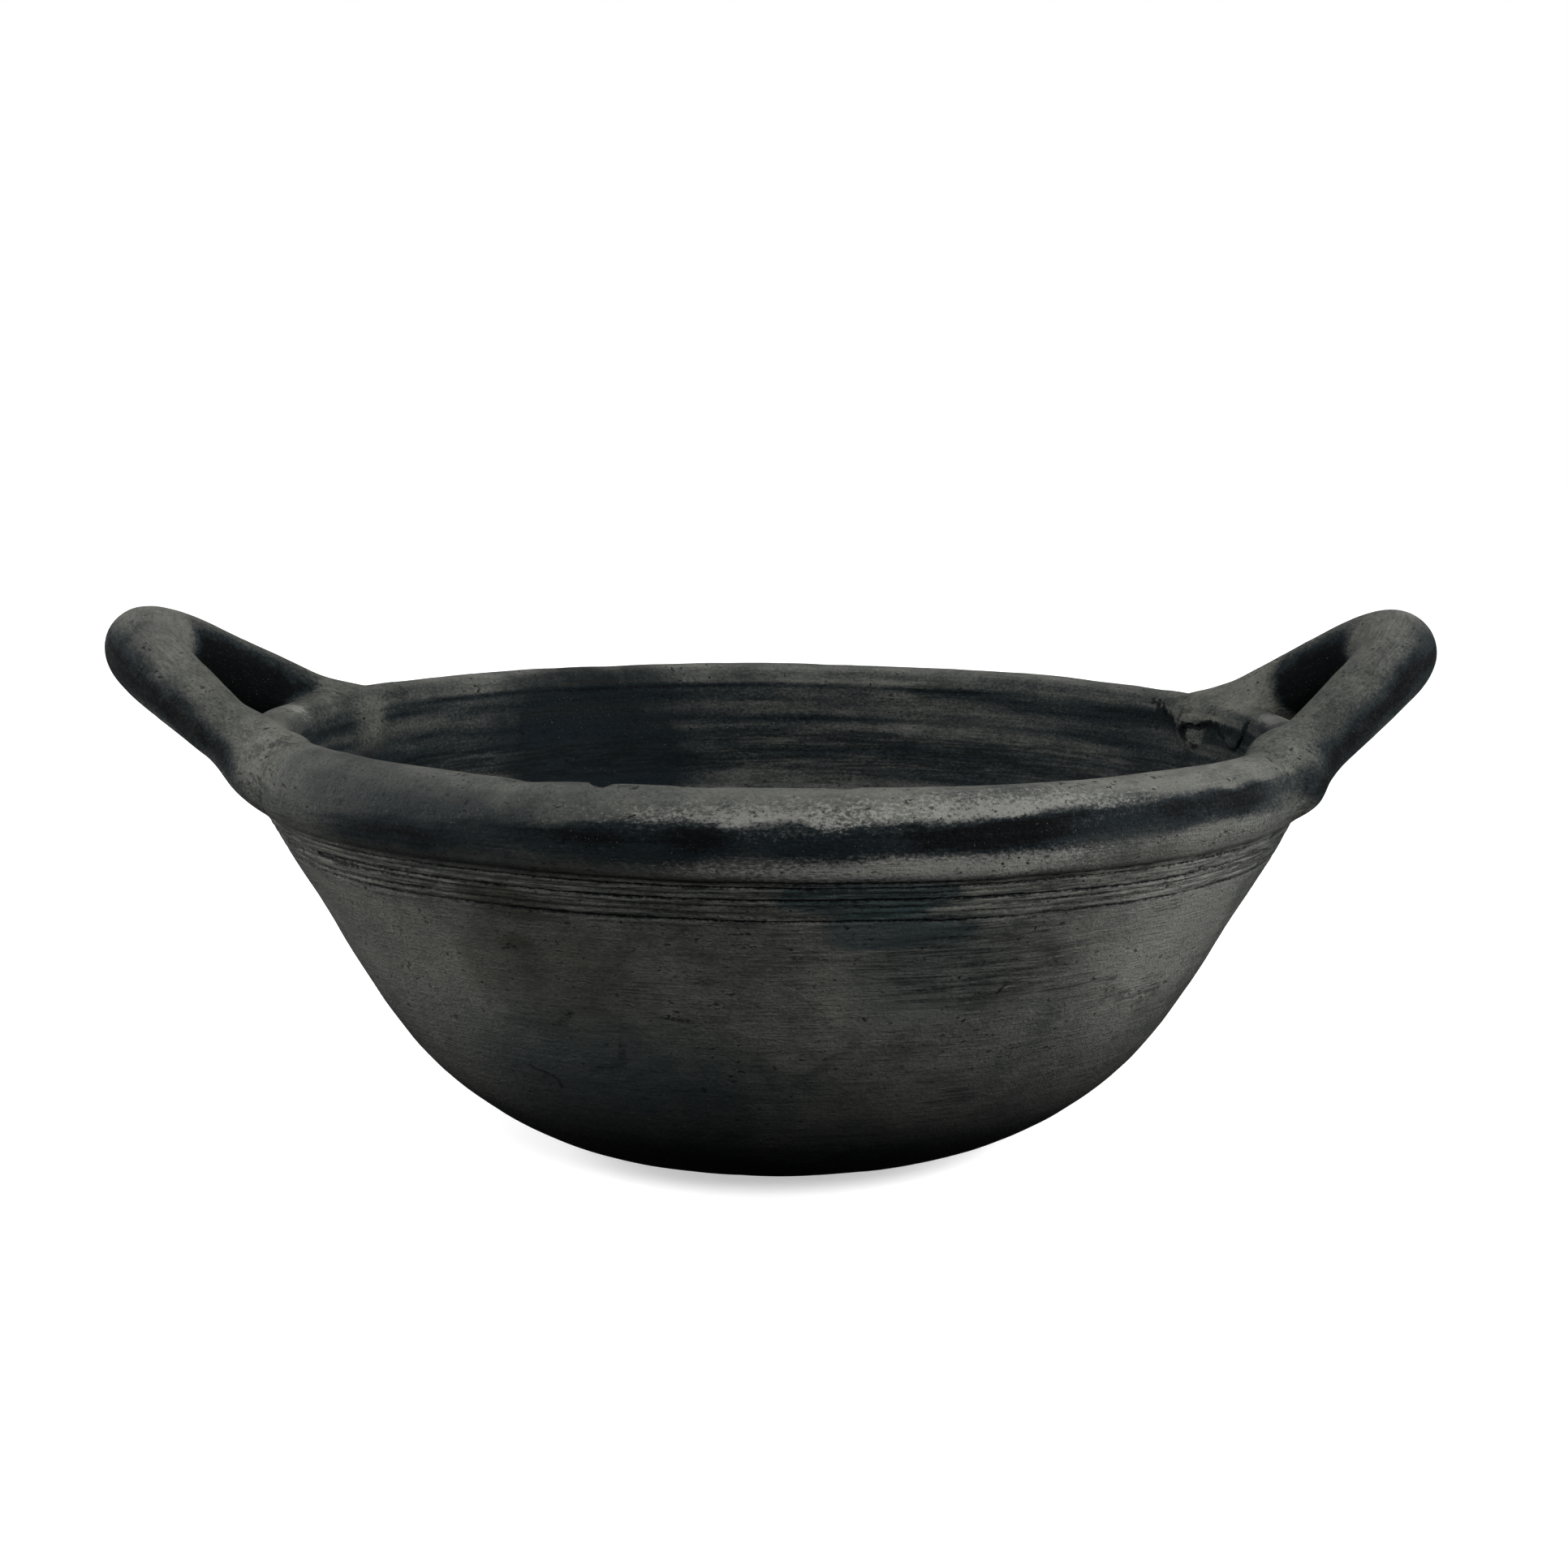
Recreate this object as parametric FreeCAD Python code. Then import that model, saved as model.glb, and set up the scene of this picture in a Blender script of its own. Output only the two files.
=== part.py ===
"""Black clay bowl with a rolled rim and two loop handles, in millimetres.

+Z is up and the origin is the centre of the foot, on the surface that the bowl stands on.
The handles stand out along -X (left) and +X (right), and the bowl's axis is Z.

The bowl is put together from clay that is shaped piece by piece, so each piece is a solid of its own:
a floor slab, a belly coil and a wall coil joined by bevelled laps, a rim coil that sits astride the
wall's ridged edge, two handle coils, and a wad of luting clay round each handle foot.
Neighbouring pieces meet face to face.
"""

import FreeCAD
import Part

import math
import os

# ---- driving dimensions ------------------------------------------------------------------------

FOOT_RADIUS = 34.0        # flat patch that the bowl rests on
BELLY_RADIUS = 75.8       # outer radius of the rounded belly's arc
BELLY_CENTRE_R = 25.1     # how far the belly arc's centre lies from the axis
BELLY_END = 60.3          # degrees up the arc, where the belly becomes the straight cone
WALL_THICKNESS = 7.5      # across belly and wall
FLOOR_THICKNESS = 8.2     # at the middle of the floor

STEP_Z = 79.6             # underside of the rim coil
RIM_RADIUS = 120.0        # the rim coil's widest point
RIM_TOP_Z = 96.7          # crest of the rim coil
RIM_CREST_RADIUS = 112.6
LIP_RADIUS = 107.2        # the rim coil's inner face, just under its edge
RIDGE_HEIGHT = 5.5        # how far the wall's ridged edge stands up into the rim coil

GROOVE_HEIGHTS = (71.6, 73.0, 75.8, 77.5)   # incised lines under the rim
GROOVE_DEPTH = 0.55
GROOVE_HALF_WIDTH = 0.45

SLAB_LAP = (24.0, 32.0)   # degrees on the belly arc: the lap's outer and inner edge
BELLY_LAP = (52.0, 58.0)

HANDLE_RADIUS = 8.2       # the handle coil is a finger thick
ROOT_X = 105.0            # where the handle's centre line starts, inside the rim coil
ROOT_Y = 44.0
ROOT_Z = 88.0
HANDLE_TIP_RADIUS = 24.0  # bend of the centre line round the grip
HANDLES = {               # name: (side of X, reach from root line to grip, rise in degrees)
    "left_handle": (-1, 44.0, 34.0),
    "right_handle": (1, 40.5, 36.5),
}

WAD_FOOT_RADIUS = 12.6    # luting clay round a handle's foot
WAD_LENGTH = 17.0
WAD_BURIED = 4.0          # how far the wad starts inside the rim
WAD_SKIRT = 0.05          # skin of the wad at its thin end

FULL_TURN = 360.0
AXIS_ORIGIN = FreeCAD.Vector(0, 0, 0)
UP = FreeCAD.Vector(0, 0, 1)


# ---- outline of the bowl in the half plane X, Z ------------------------------------------------

def at(r, z):
    """Point of the half plane: distance r from the axis, height z."""
    return FreeCAD.Vector(r, 0, z)


BELLY_CENTRE_Z = math.sqrt(BELLY_RADIUS**2 - (FOOT_RADIUS - BELLY_CENTRE_R) ** 2)
INNER_RADIUS = BELLY_RADIUS - WALL_THICKNESS


def belly_point(degrees, inner=False):
    """Point on the belly's outer or inner arc, at that angle from straight down."""
    radius = INNER_RADIUS if inner else BELLY_RADIUS
    a = math.radians(degrees)
    return at(BELLY_CENTRE_R + radius * math.sin(a), BELLY_CENTRE_Z - radius * math.cos(a))


def belly_arc(first, last, inner=False):
    """Edge along the belly between two angles."""
    middle = belly_point((first + last) / 2, inner)
    return Part.Arc(belly_point(first, inner), middle, belly_point(last, inner)).toShape()


def cone_point(z, inner=False):
    """Point of the straight wall's outer or inner face at height z, tangent to the belly."""
    start = belly_point(BELLY_END, inner)
    return at(start.x + (z - start.z) / math.tan(math.radians(BELLY_END)), z)


def line(a, b):
    """Straight edge between two points."""
    return Part.LineSegment(a, b).toShape()


def polyline(points):
    """Straight edges through the points in order."""
    return [line(a, b) for a, b in zip(points, points[1:])]


def turned(edges):
    """Solid of revolution about Z of the closed outline that the edges make."""
    face = Part.Face(Part.Wire(Part.__sortEdges__(edges)))
    return face.revolve(AXIS_ORIGIN, UP, FULL_TURN)


# ---- pieces of the bowl ------------------------------------------------------------------------

def floor_slab():
    """Round pancake of clay: flat foot, flat floor, and a bevelled edge that the belly laps onto."""
    outer, inner = SLAB_LAP
    foot = math.degrees(math.asin((FOOT_RADIUS - BELLY_CENTRE_R) / BELLY_RADIUS))
    floor_rise = BELLY_CENTRE_Z - FLOOR_THICKNESS
    flat = math.degrees(math.acos(floor_rise / INNER_RADIUS))
    edges = polyline([belly_point(flat, True), at(0, FLOOR_THICKNESS), at(0, 0), at(FOOT_RADIUS, 0)])
    edges.append(belly_arc(foot, outer))
    edges.append(line(belly_point(outer), belly_point(inner, True)))
    edges.append(belly_arc(flat, inner, inner=True))
    return turned(edges)


def belly_coil():
    """Ring between the floor slab's bevel and the wall coil's."""
    low_outer, low_inner = SLAB_LAP
    high_outer, high_inner = BELLY_LAP
    return turned([
        belly_arc(low_outer, high_outer),
        line(belly_point(high_outer), belly_point(high_inner, True)),
        belly_arc(low_inner, high_inner, inner=True),
        line(belly_point(low_inner, True), belly_point(low_outer)),
    ])


def groove(z):
    """Corners of one incised line at height z, from its lower lip to its upper one."""
    a = math.radians(BELLY_END)
    root = cone_point(z)
    root = at(root.x - GROOVE_DEPTH * math.sin(a), root.z + GROOVE_DEPTH * math.cos(a))
    return [cone_point(z - GROOVE_HALF_WIDTH), root, cone_point(z + GROOVE_HALF_WIDTH)]


def wall_ridge():
    """Wall's top edge from outside to inside: outer shoulder, ridge and inner shoulder."""
    outer = cone_point(STEP_Z)
    inner = cone_point(STEP_Z, inner=True)
    ridge = at((outer.x + inner.x) / 2 + 1.0, STEP_Z + RIDGE_HEIGHT)
    return [outer, ridge, inner]


def wall_coil():
    """Straight flaring wall with the incised lines and a ridged top edge."""
    outer, inner = BELLY_LAP
    climb = [belly_point(BELLY_END)]
    for z in GROOVE_HEIGHTS:
        climb += groove(z)
    edges = [belly_arc(outer, BELLY_END)]
    edges += polyline(climb + wall_ridge() + [belly_point(BELLY_END, True)])
    edges.append(belly_arc(inner, BELLY_END, inner=True))
    edges.append(line(belly_point(inner, True), belly_point(outer)))
    return turned(edges)


def rim_coil():
    """Rounded roll astride the wall's ridge: it overhangs outside and turns over an edge inside."""
    outer, ridge, inner = wall_ridge()
    heel = at(outer.x + 0.6, STEP_Z + 0.3)
    roll = Part.BSplineCurve()
    roll.interpolate([
        heel,
        at(RIM_RADIUS - 2.2, STEP_Z + 2.6),
        at(RIM_RADIUS, STEP_Z + 8.2),
        at(RIM_RADIUS - 1.8, RIM_TOP_Z - 4.0),
        at(RIM_CREST_RADIUS, RIM_TOP_Z),
        at(LIP_RADIUS + 1.6, RIM_TOP_Z - 1.5),
        at(LIP_RADIUS, RIM_TOP_Z - 5.0),
        inner,
    ])
    edges = [line(outer, heel), roll.toShape()] + polyline([inner, ridge, outer])
    return turned(edges)


# ---- handles and the clay that lutes them on ---------------------------------------------------

def handle_point(side, rise, reach, y):
    """Point of a handle's sloping plane: reach out from the root line, and y along it."""
    a = math.radians(rise)
    return FreeCAD.Vector(side * (ROOT_X + reach * math.cos(a)), y, ROOT_Z + reach * math.sin(a))


def leg_end(reach):
    """Where a leg runs into the bend: its reach, its y, and the leg's angle from the middle line.

    The leg is the tangent from the root (0, ROOT_Y) to the bend's circle, whose centre is on the
    middle line, HANDLE_TIP_RADIUS short of the grip.
    """
    centre = reach - HANDLE_TIP_RADIUS
    distance = math.hypot(centre, ROOT_Y)
    lean = math.atan2(ROOT_Y, centre) - math.asin(HANDLE_TIP_RADIUS / distance)
    length = math.sqrt(distance**2 - HANDLE_TIP_RADIUS**2)
    return length * math.cos(lean), ROOT_Y - length * math.sin(lean), lean


def handle_coil(side, reach, rise):
    """Round coil bent into a loop: two straight legs and one bend, still running into the rim."""
    end_reach, end_y, _ = leg_end(reach)
    near = [handle_point(side, rise, r, s * y) for s in (-1, 1) for r, y in ((0, ROOT_Y), (end_reach, end_y))]
    front_root, front_end, back_root, back_end = near
    grip = handle_point(side, rise, reach, 0)
    path = Part.Wire([
        line(front_root, front_end),
        Part.Arc(front_end, grip, back_end).toShape(),
        line(back_end, back_root),
    ])
    along = front_end - front_root
    section = Part.Wire(Part.Circle(front_root, along, HANDLE_RADIUS).toShape())
    return path.makePipeShell([section], True, False)


def luting_wad(side, reach, rise, end):
    """Trumpet of clay round one foot of a handle; end is -1 for the front foot and 1 for the back."""
    end_reach, end_y, _ = leg_end(reach)
    root = handle_point(side, rise, 0, end * ROOT_Y)
    along = handle_point(side, rise, end_reach, end * end_y) - root
    along.normalize()
    start = root - along * WAD_BURIED
    thin = HANDLE_RADIUS + WAD_SKIRT
    waist = at(thin + (WAD_FOOT_RADIUS - thin) * 0.3, WAD_LENGTH * 0.5)
    edges = polyline([at(thin, WAD_LENGTH), at(0, WAD_LENGTH), at(0, 0), at(WAD_FOOT_RADIUS, 0)])
    edges.append(Part.Arc(at(WAD_FOOT_RADIUS, 0), waist, at(thin, WAD_LENGTH)).toShape())
    wad = turned(edges)
    wad.Placement = FreeCAD.Placement(start, FreeCAD.Rotation(UP, along))
    return wad


# ---- assembly ----------------------------------------------------------------------------------

def main():
    os.makedirs("parts", exist_ok=True)
    bowl = {
        "floor_slab": floor_slab(),
        "belly_coil": belly_coil(),
        "wall_coil": wall_coil(),
        "rim_coil": rim_coil(),
    }
    pieces = dict(bowl)
    for name, (side, reach, rise) in HANDLES.items():
        handle = handle_coil(side, reach, rise)
        for other in ("wall_coil", "rim_coil"):
            handle = handle.cut(bowl[other])
        handle = max(handle.Solids, key=lambda s: s.Volume)
        pieces[name] = handle
        for end, word in ((-1, "front"), (1, "back")):
            wad = luting_wad(side, reach, rise, end)
            for other in (bowl["wall_coil"], bowl["rim_coil"], handle):
                wad = wad.cut(other)
            pieces[name.replace("_handle", f"_{word}_luting_wad")] = wad
    for name, shape in pieces.items():
        box = shape.BoundBox
        print(f"{name:26s} solids {len(shape.Solids)} volume {shape.Volume:10.1f} valid {shape.isValid()}"
              f" z {box.ZMin:.2f} to {box.ZMax:.2f} x {box.XMin:.2f} to {box.XMax:.2f}")
        shape.exportStep(f"parts/{name}.step")


main()
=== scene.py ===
"""Studio scene of a black clay bowl with a rolled rim and two loop handles.

The bowl is fired black earthenware. Its skin is one surface of revolution, shaped by hand, which is cut
into the four pieces that the potter joined: the floor slab, the belly coil, the wall coil and the rim
coil. The handles are round coils, and wads of luting clay are smeared round their feet.

Sizes are in millimetres while a surface is worked out, and become metres when its mesh is made.
"""

import logging
import math
from dataclasses import dataclass, field
from enum import Enum
from typing import Callable

import bpy
import numpy as np
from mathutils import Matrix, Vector


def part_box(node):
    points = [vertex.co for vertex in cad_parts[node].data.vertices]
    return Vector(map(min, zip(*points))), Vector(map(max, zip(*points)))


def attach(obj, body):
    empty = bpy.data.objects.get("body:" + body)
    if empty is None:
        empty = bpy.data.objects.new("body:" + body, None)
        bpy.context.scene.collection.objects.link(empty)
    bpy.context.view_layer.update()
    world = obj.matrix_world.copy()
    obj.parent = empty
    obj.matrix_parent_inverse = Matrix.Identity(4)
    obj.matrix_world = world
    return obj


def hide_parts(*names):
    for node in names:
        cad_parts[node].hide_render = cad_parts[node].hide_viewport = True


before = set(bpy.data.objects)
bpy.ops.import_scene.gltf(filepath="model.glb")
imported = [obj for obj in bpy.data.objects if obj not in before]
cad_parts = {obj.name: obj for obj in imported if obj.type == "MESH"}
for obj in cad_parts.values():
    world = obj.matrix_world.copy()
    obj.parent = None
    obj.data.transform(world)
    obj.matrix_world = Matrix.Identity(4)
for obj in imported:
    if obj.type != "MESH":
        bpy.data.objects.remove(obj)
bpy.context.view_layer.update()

Array = np.ndarray
Triple = tuple[float, float, float]
Colour = tuple[float, float, float, float]
Socket = bpy.types.NodeSocket

METRES_PER_MM = 0.001
BODY = "root"
log = logging.getLogger("clay_bowl")


class Side(Enum):
    """Which side of the bowl a handle stands on, as the sign of X."""

    LEFT = -1
    RIGHT = 1


class End(Enum):
    """Which foot of a handle, as the sign of Y."""

    FRONT = -1
    BACK = 1


# ---- measures taken from the frame ----------------------------------------------------------------

def node_box(node: str) -> tuple[Array, Array]:
    """Lowest and highest corner of a CAD node at rest, in millimetres.

    Args:
        node: name of the CAD node.

    Returns:
        The two corners.
    """
    low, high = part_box(node)
    return np.array(low) / METRES_PER_MM, np.array(high) / METRES_PER_MM


RIM_LOW, RIM_HIGH = node_box("rim_coil")
RIM_RADIUS = float(RIM_HIGH[0])
RIM_TOP = float(RIM_HIGH[2])
STEP_Z = float(RIM_LOW[2])


# ---- numpy helpers --------------------------------------------------------------------------------

def ramp(x: Array, low: float, high: float) -> Array:
    """Smooth step: 0 below low, 1 above high, and 3t^2 - 2t^3 between, with t the share of the way."""
    t = np.clip((x - low) / (high - low), 0.0, 1.0)
    return t * t * (3.0 - 2.0 * t)


def bump(x: Array, width: float) -> Array:
    """Bell curve of height 1 at x = 0 that falls to 1/e at a distance of width."""
    return np.exp(-(x / width) ** 2)


def unit(v: Array) -> Array:
    """Vectors scaled to length 1 along the last axis."""
    return v / np.maximum(np.linalg.norm(v, axis=-1, keepdims=True), 1e-12)


def lattice_noise(points: Array, seed: int) -> Array:
    """Value noise: random numbers on the whole-number lattice, blended with a quintic between corners.

    A corner's random number is its scrambled index: products with large whole numbers, whose upper bits
    are folded onto the lower ones.

    Args:
        points: (..., 3) positions, in lattice steps.
        seed: picks another set of random numbers.

    Returns:
        Values between -1 and 1.
    """
    cell = np.floor(points).astype(np.int64)
    t = points - cell
    t = t * t * t * (t * (t * 6.0 - 15.0) + 10.0)
    total = np.zeros(points.shape[:-1])
    for corner in np.ndindex(2, 2, 2):
        i, j, k = (cell[..., axis] + corner[axis] for axis in range(3))
        h = (i * 374761393 + j * 668265263 + k * 2147483647 + seed * 1274126177) & 0xFFFFFFFF
        h = ((h ^ (h >> 13)) * 1103515245) & 0xFFFFFFFF
        h = ((h ^ (h >> 16)) * 668265263) & 0xFFFFFFFF
        value = (h ^ (h >> 15)) / 0xFFFFFFFF * 2.0 - 1.0
        weight = np.ones(points.shape[:-1])
        for axis in range(3):
            weight = weight * (t[..., axis] if corner[axis] else 1.0 - t[..., axis])
        total += weight * value
    return total


def layered_noise(points: Array, size: float | Triple, seed: int, layers: int = 3) -> Array:
    """Sum of value noises, each half the size and half the height of the one before.

    Args:
        points: (..., 3) positions in millimetres.
        size: size of the largest lumps in millimetres, or one size for each axis.
        seed: picks the pattern.
        layers: how many noises are added.

    Returns:
        Values between about -1 and 1.
    """
    scaled = points / np.asarray(size, float)
    total, height, sum_of_heights = 0.0, 1.0, 0.0
    for layer in range(layers):
        total = total + height * lattice_noise(scaled * 2.0**layer + 17.3 * layer, seed + 31 * layer)
        sum_of_heights += height
        height *= 0.5
    return total / sum_of_heights


SPAN_STEPS = 60         # points that a spline is worked out at between two corners


def smooth_curve(corners: list[tuple[float, float]], count: int) -> Array:
    """Evenly spaced points along a Catmull-Rom spline through the corners.

    Each span is a cubic whose slope at a corner is half the step between that corner's neighbours.

    Args:
        corners: points that the curve goes through.
        count: how many points to return.

    Returns:
        (count, 2) points.
    """
    p = np.asarray(corners, float)
    p = np.vstack([2 * p[0] - p[1], p, 2 * p[-1] - p[-2]])
    t = np.linspace(0.0, 1.0, SPAN_STEPS, endpoint=False)[:, None]
    spans = []
    for a, b, c, d in zip(p, p[1:], p[2:], p[3:]):
        spans.append(0.5 * (2 * b + (c - a) * t + (2 * a - 5 * b + 4 * c - d) * t**2
                            + (3 * b - a - 3 * c + d) * t**3))
    dense = np.vstack(spans + [p[-2][None]])
    length = np.concatenate([[0.0], np.cumsum(np.linalg.norm(np.diff(dense, axis=0), axis=1))])
    wanted = np.linspace(0.0, length[-1], count)
    return np.stack([np.interp(wanted, length, dense[:, axis]) for axis in range(2)], axis=1)


def grid_normals(grid: Array) -> Array:
    """Unit normals of a grid of rings, from the cross product of its two difference vectors.

    Args:
        grid: (rows, columns, 3) points; each row is a closed ring.

    Returns:
        (rows, columns, 3) normals.
    """
    along = np.gradient(grid, axis=0)
    across = np.roll(grid, -1, axis=1) - np.roll(grid, 1, axis=1)
    return unit(np.cross(across, along))


# ---- meshes ---------------------------------------------------------------------------------------

def closed_quads(rows: int, columns: int, join_rows: bool = False) -> Array:
    """Faces of a grid whose last column joins its first.

    Args:
        rows: number of rings.
        columns: points in each ring.
        join_rows: whether the last ring also joins the first one.

    Returns:
        (faces, 4) vertex indices, anticlockwise seen from the side that rows cross columns points to.
    """
    i = np.arange(rows if join_rows else rows - 1)[:, None]
    j = np.arange(columns)[None, :]
    i_next, j_next = (i + 1) % rows, (j + 1) % columns
    corners = (i * columns + j, i * columns + j_next, i_next * columns + j_next, i_next * columns + j)
    return np.stack([c + 0 * (i + j) for c in corners], axis=-1).reshape(-1, 4)


def pole_fan(ring: Array, pole: int, flip: bool) -> Array:
    """Triangles from a ring of vertex indices to one pole vertex.

    Args:
        ring: vertex indices of the ring, in column order.
        pole: index of the pole vertex.
        flip: whether the triangles turn the other way.

    Returns:
        (faces, 3) vertex indices.
    """
    following = np.roll(ring, -1)
    poles = np.full_like(ring, pole)
    order = (following, ring, poles) if flip else (ring, following, poles)
    return np.stack(order, axis=-1)


FILL_ROUNDS = 4             # filling one pinched face can pinch the next one
BARELY_SOLID = -0.01        # field of a filled corner, in millimetres


def fill_diagonals(value: Array) -> None:
    """Fill the cell faces whose solid corners touch only across a diagonal.

    The mesh would pinch to a shared edge there. The two empty corners become barely solid.

    Args:
        value: field at the corners of the cells, negative in the solid; it is changed in place.
    """
    for _ in range(FILL_ROUNDS):
        for axis in range(3):
            layers = np.moveaxis(value, axis, 2)
            inside = layers < 0
            one, other = inside[:-1, :-1], inside[:-1, 1:]
            pinched = (one == inside[1:, 1:]) & (other == inside[1:, :-1]) & (one != other)
            rows, columns = pinched.shape[:2]
            for row, column in np.ndindex(2, 2):
                corner = layers[row:row + rows, column:column + columns]
                corner[pinched & (corner >= 0)] = BARELY_SOLID


def surface_net(solid: Callable[[Array], Array], low: Array, high: Array,
                step: float) -> tuple[Array, Array]:
    """Closed mesh of the surface on which a field is zero.

    The box is divided into cubic cells. Each cell that the surface passes through gets one vertex, the
    mean of the places where the surface crosses the cell's edges. Each crossed edge gets one face,
    which joins the vertices of the four cells round it.

    Args:
        solid: field that is negative in the solid; it takes (..., 3) points.
        low: lowest corner of the box, outside the solid.
        high: highest corner of the box, outside the solid.
        step: size of a cell.

    Returns:
        (n, 3) points, and (faces, 4) vertex indices that face outwards.
    """
    count = np.ceil((high - low) / step).astype(int)
    ticks = [low[axis] + step * np.arange(count[axis] + 1) for axis in range(3)]
    corners = np.stack(np.meshgrid(*ticks, indexing="ij"), axis=-1)
    value = solid(corners)
    fill_diagonals(value)
    total, hits, crossed = np.zeros((*count, 3)), np.zeros(count), []
    for axis in range(3):
        lower = tuple(slice(None, -1) if a == axis else slice(None) for a in range(3))
        upper = tuple(slice(1, None) if a == axis else slice(None) for a in range(3))
        start, stop = value[lower], value[upper]
        crosses = (start < 0) != (stop < 0)
        place = corners[lower].copy()
        place[..., axis] += step * start / np.where(crosses, start - stop, 1.0)
        place = np.where(crosses[..., None], place, 0.0)
        crossed.append((crosses, start))
        others = [a for a in range(3) if a != axis]
        for shift in np.ndindex(2, 2):
            pick = [slice(None)] * 3
            for a, moved in zip(others, shift):
                pick[a] = slice(moved, moved + count[a])
            total += place[tuple(pick)]
            hits += crosses[tuple(pick)]
    used = hits > 0
    index = np.full(count, -1)
    index[used] = np.arange(used.sum())
    quads = []
    for axis, (crosses, start) in enumerate(crossed):
        b, c = (axis + 1) % 3, (axis + 2) % 3
        edge = np.argwhere(crosses)
        around = []
        for shift_b, shift_c in ((-1, -1), (0, -1), (0, 0), (-1, 0)):
            cell = edge.copy()
            cell[:, b] += shift_b
            cell[:, c] += shift_c
            around.append(index[tuple(cell.T)])
        quad = np.stack(around, axis=-1)
        inwards = start[crosses] >= 0
        quad[inwards] = quad[inwards][:, ::-1]
        quads.append(quad)
    return total[used] / hits[used][:, None], np.vstack(quads)


def make_mesh(name: str, points: Array, faces: list[Array], normals: Array,
              fields: dict[str, Array]) -> bpy.types.Object:
    """Mesh object at the origin from points in millimetres, with its own smooth normals.

    Args:
        name: name of the piece.
        points: (n, 3) positions in millimetres.
        faces: arrays of vertex indices, one array for each number of corners.
        normals: (n, 3) unit normals of the clay's skin at the points.
        fields: values for each vertex, by attribute name; (n,) numbers or (n, 3) vectors.

    Returns:
        The linked object.
    """
    mesh = bpy.data.meshes.new(name)
    starts, total, loops = [], 0, []
    for group in faces:
        size = group.shape[1]
        starts.append(total + size * np.arange(len(group)))
        total += group.size
        loops.append(group.reshape(-1))
    mesh.vertices.add(len(points))
    mesh.vertices.foreach_set("co", (points * METRES_PER_MM).astype(np.float32).reshape(-1))
    mesh.loops.add(total)
    mesh.loops.foreach_set("vertex_index", np.concatenate(loops).astype(np.int32))
    mesh.polygons.add(sum(len(s) for s in starts))
    mesh.polygons.foreach_set("loop_start", np.concatenate(starts).astype(np.int32))
    mesh.update(calc_edges=True)
    mesh.polygons.foreach_set("use_smooth", np.ones(len(mesh.polygons), bool))
    for attribute_name, values in fields.items():
        kind, key = ("FLOAT", "value") if values.ndim == 1 else ("FLOAT_VECTOR", "vector")
        attribute = mesh.attributes.new(attribute_name, kind, "POINT")
        attribute.data.foreach_set(key, values.astype(np.float32).reshape(-1))
    mesh.validate()
    mesh.normals_split_custom_set_from_vertices(normals.tolist())
    piece = bpy.data.objects.new(name, mesh)
    bpy.context.scene.collection.objects.link(piece)
    return piece


def settle(piece: bpy.types.Object, material: bpy.types.Material, slot: str, *nodes: str) -> None:
    """Gives a piece its finish and ties it to the frame.

    Args:
        piece: the finished object.
        material: its material.
        slot: name of a material slot; it is not used.
        *nodes: CAD nodes that the piece stands for.
    """
    piece.data.materials.append(material)
    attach(piece, BODY)
    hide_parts(*nodes)
    log.info("%s: %d vertices, %d faces", piece.name, len(piece.data.vertices), len(piece.data.polygons))


# ---- how hands leave clay -------------------------------------------------------------------------

@dataclass(frozen=True)
class HandMade:
    """Unevenness that every piece shares, so that neighbours still meet.

    lumps pushes the skin in and out by its place in space, and sag bends the whole bowl a little.
    """

    tilt: float = 0.0095        # the rim is lower on the right, as a slope
    broad_size: float = 52.0    # of the broadest lumps, then of those that palms and fingers leave
    broad_height: float = 0.42
    palm_size: float = 17.0
    palm_height: float = 0.2
    finger_size: float = 6.5
    finger_height: float = 0.07
    seed: int = 11

    def lumps(self, points: Array) -> Array:
        """How far the skin stands proud: three noises of falling size, added.

        Args:
            points: (..., 3) positions.

        Returns:
            Heights in millimetres.
        """
        return (self.broad_height * layered_noise(points, self.broad_size, self.seed, 2)
                + self.palm_height * layered_noise(points, self.palm_size, self.seed + 5, 2)
                + self.finger_height * layered_noise(points, self.finger_size, self.seed + 9, 2))

    def sag(self, points: Array) -> Array:
        """Tips everything above the foot sideways: height loses tilt times X, in step with the height.

        Args:
            points: (..., 3) positions.

        Returns:
            The moved positions.
        """
        bent = points.copy()
        share = ramp(points[..., 2], 0.0, STEP_Z)
        bent[..., 2] -= self.tilt * points[..., 0] * share
        return bent


# ---- the bowl's outline ---------------------------------------------------------------------------

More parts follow.
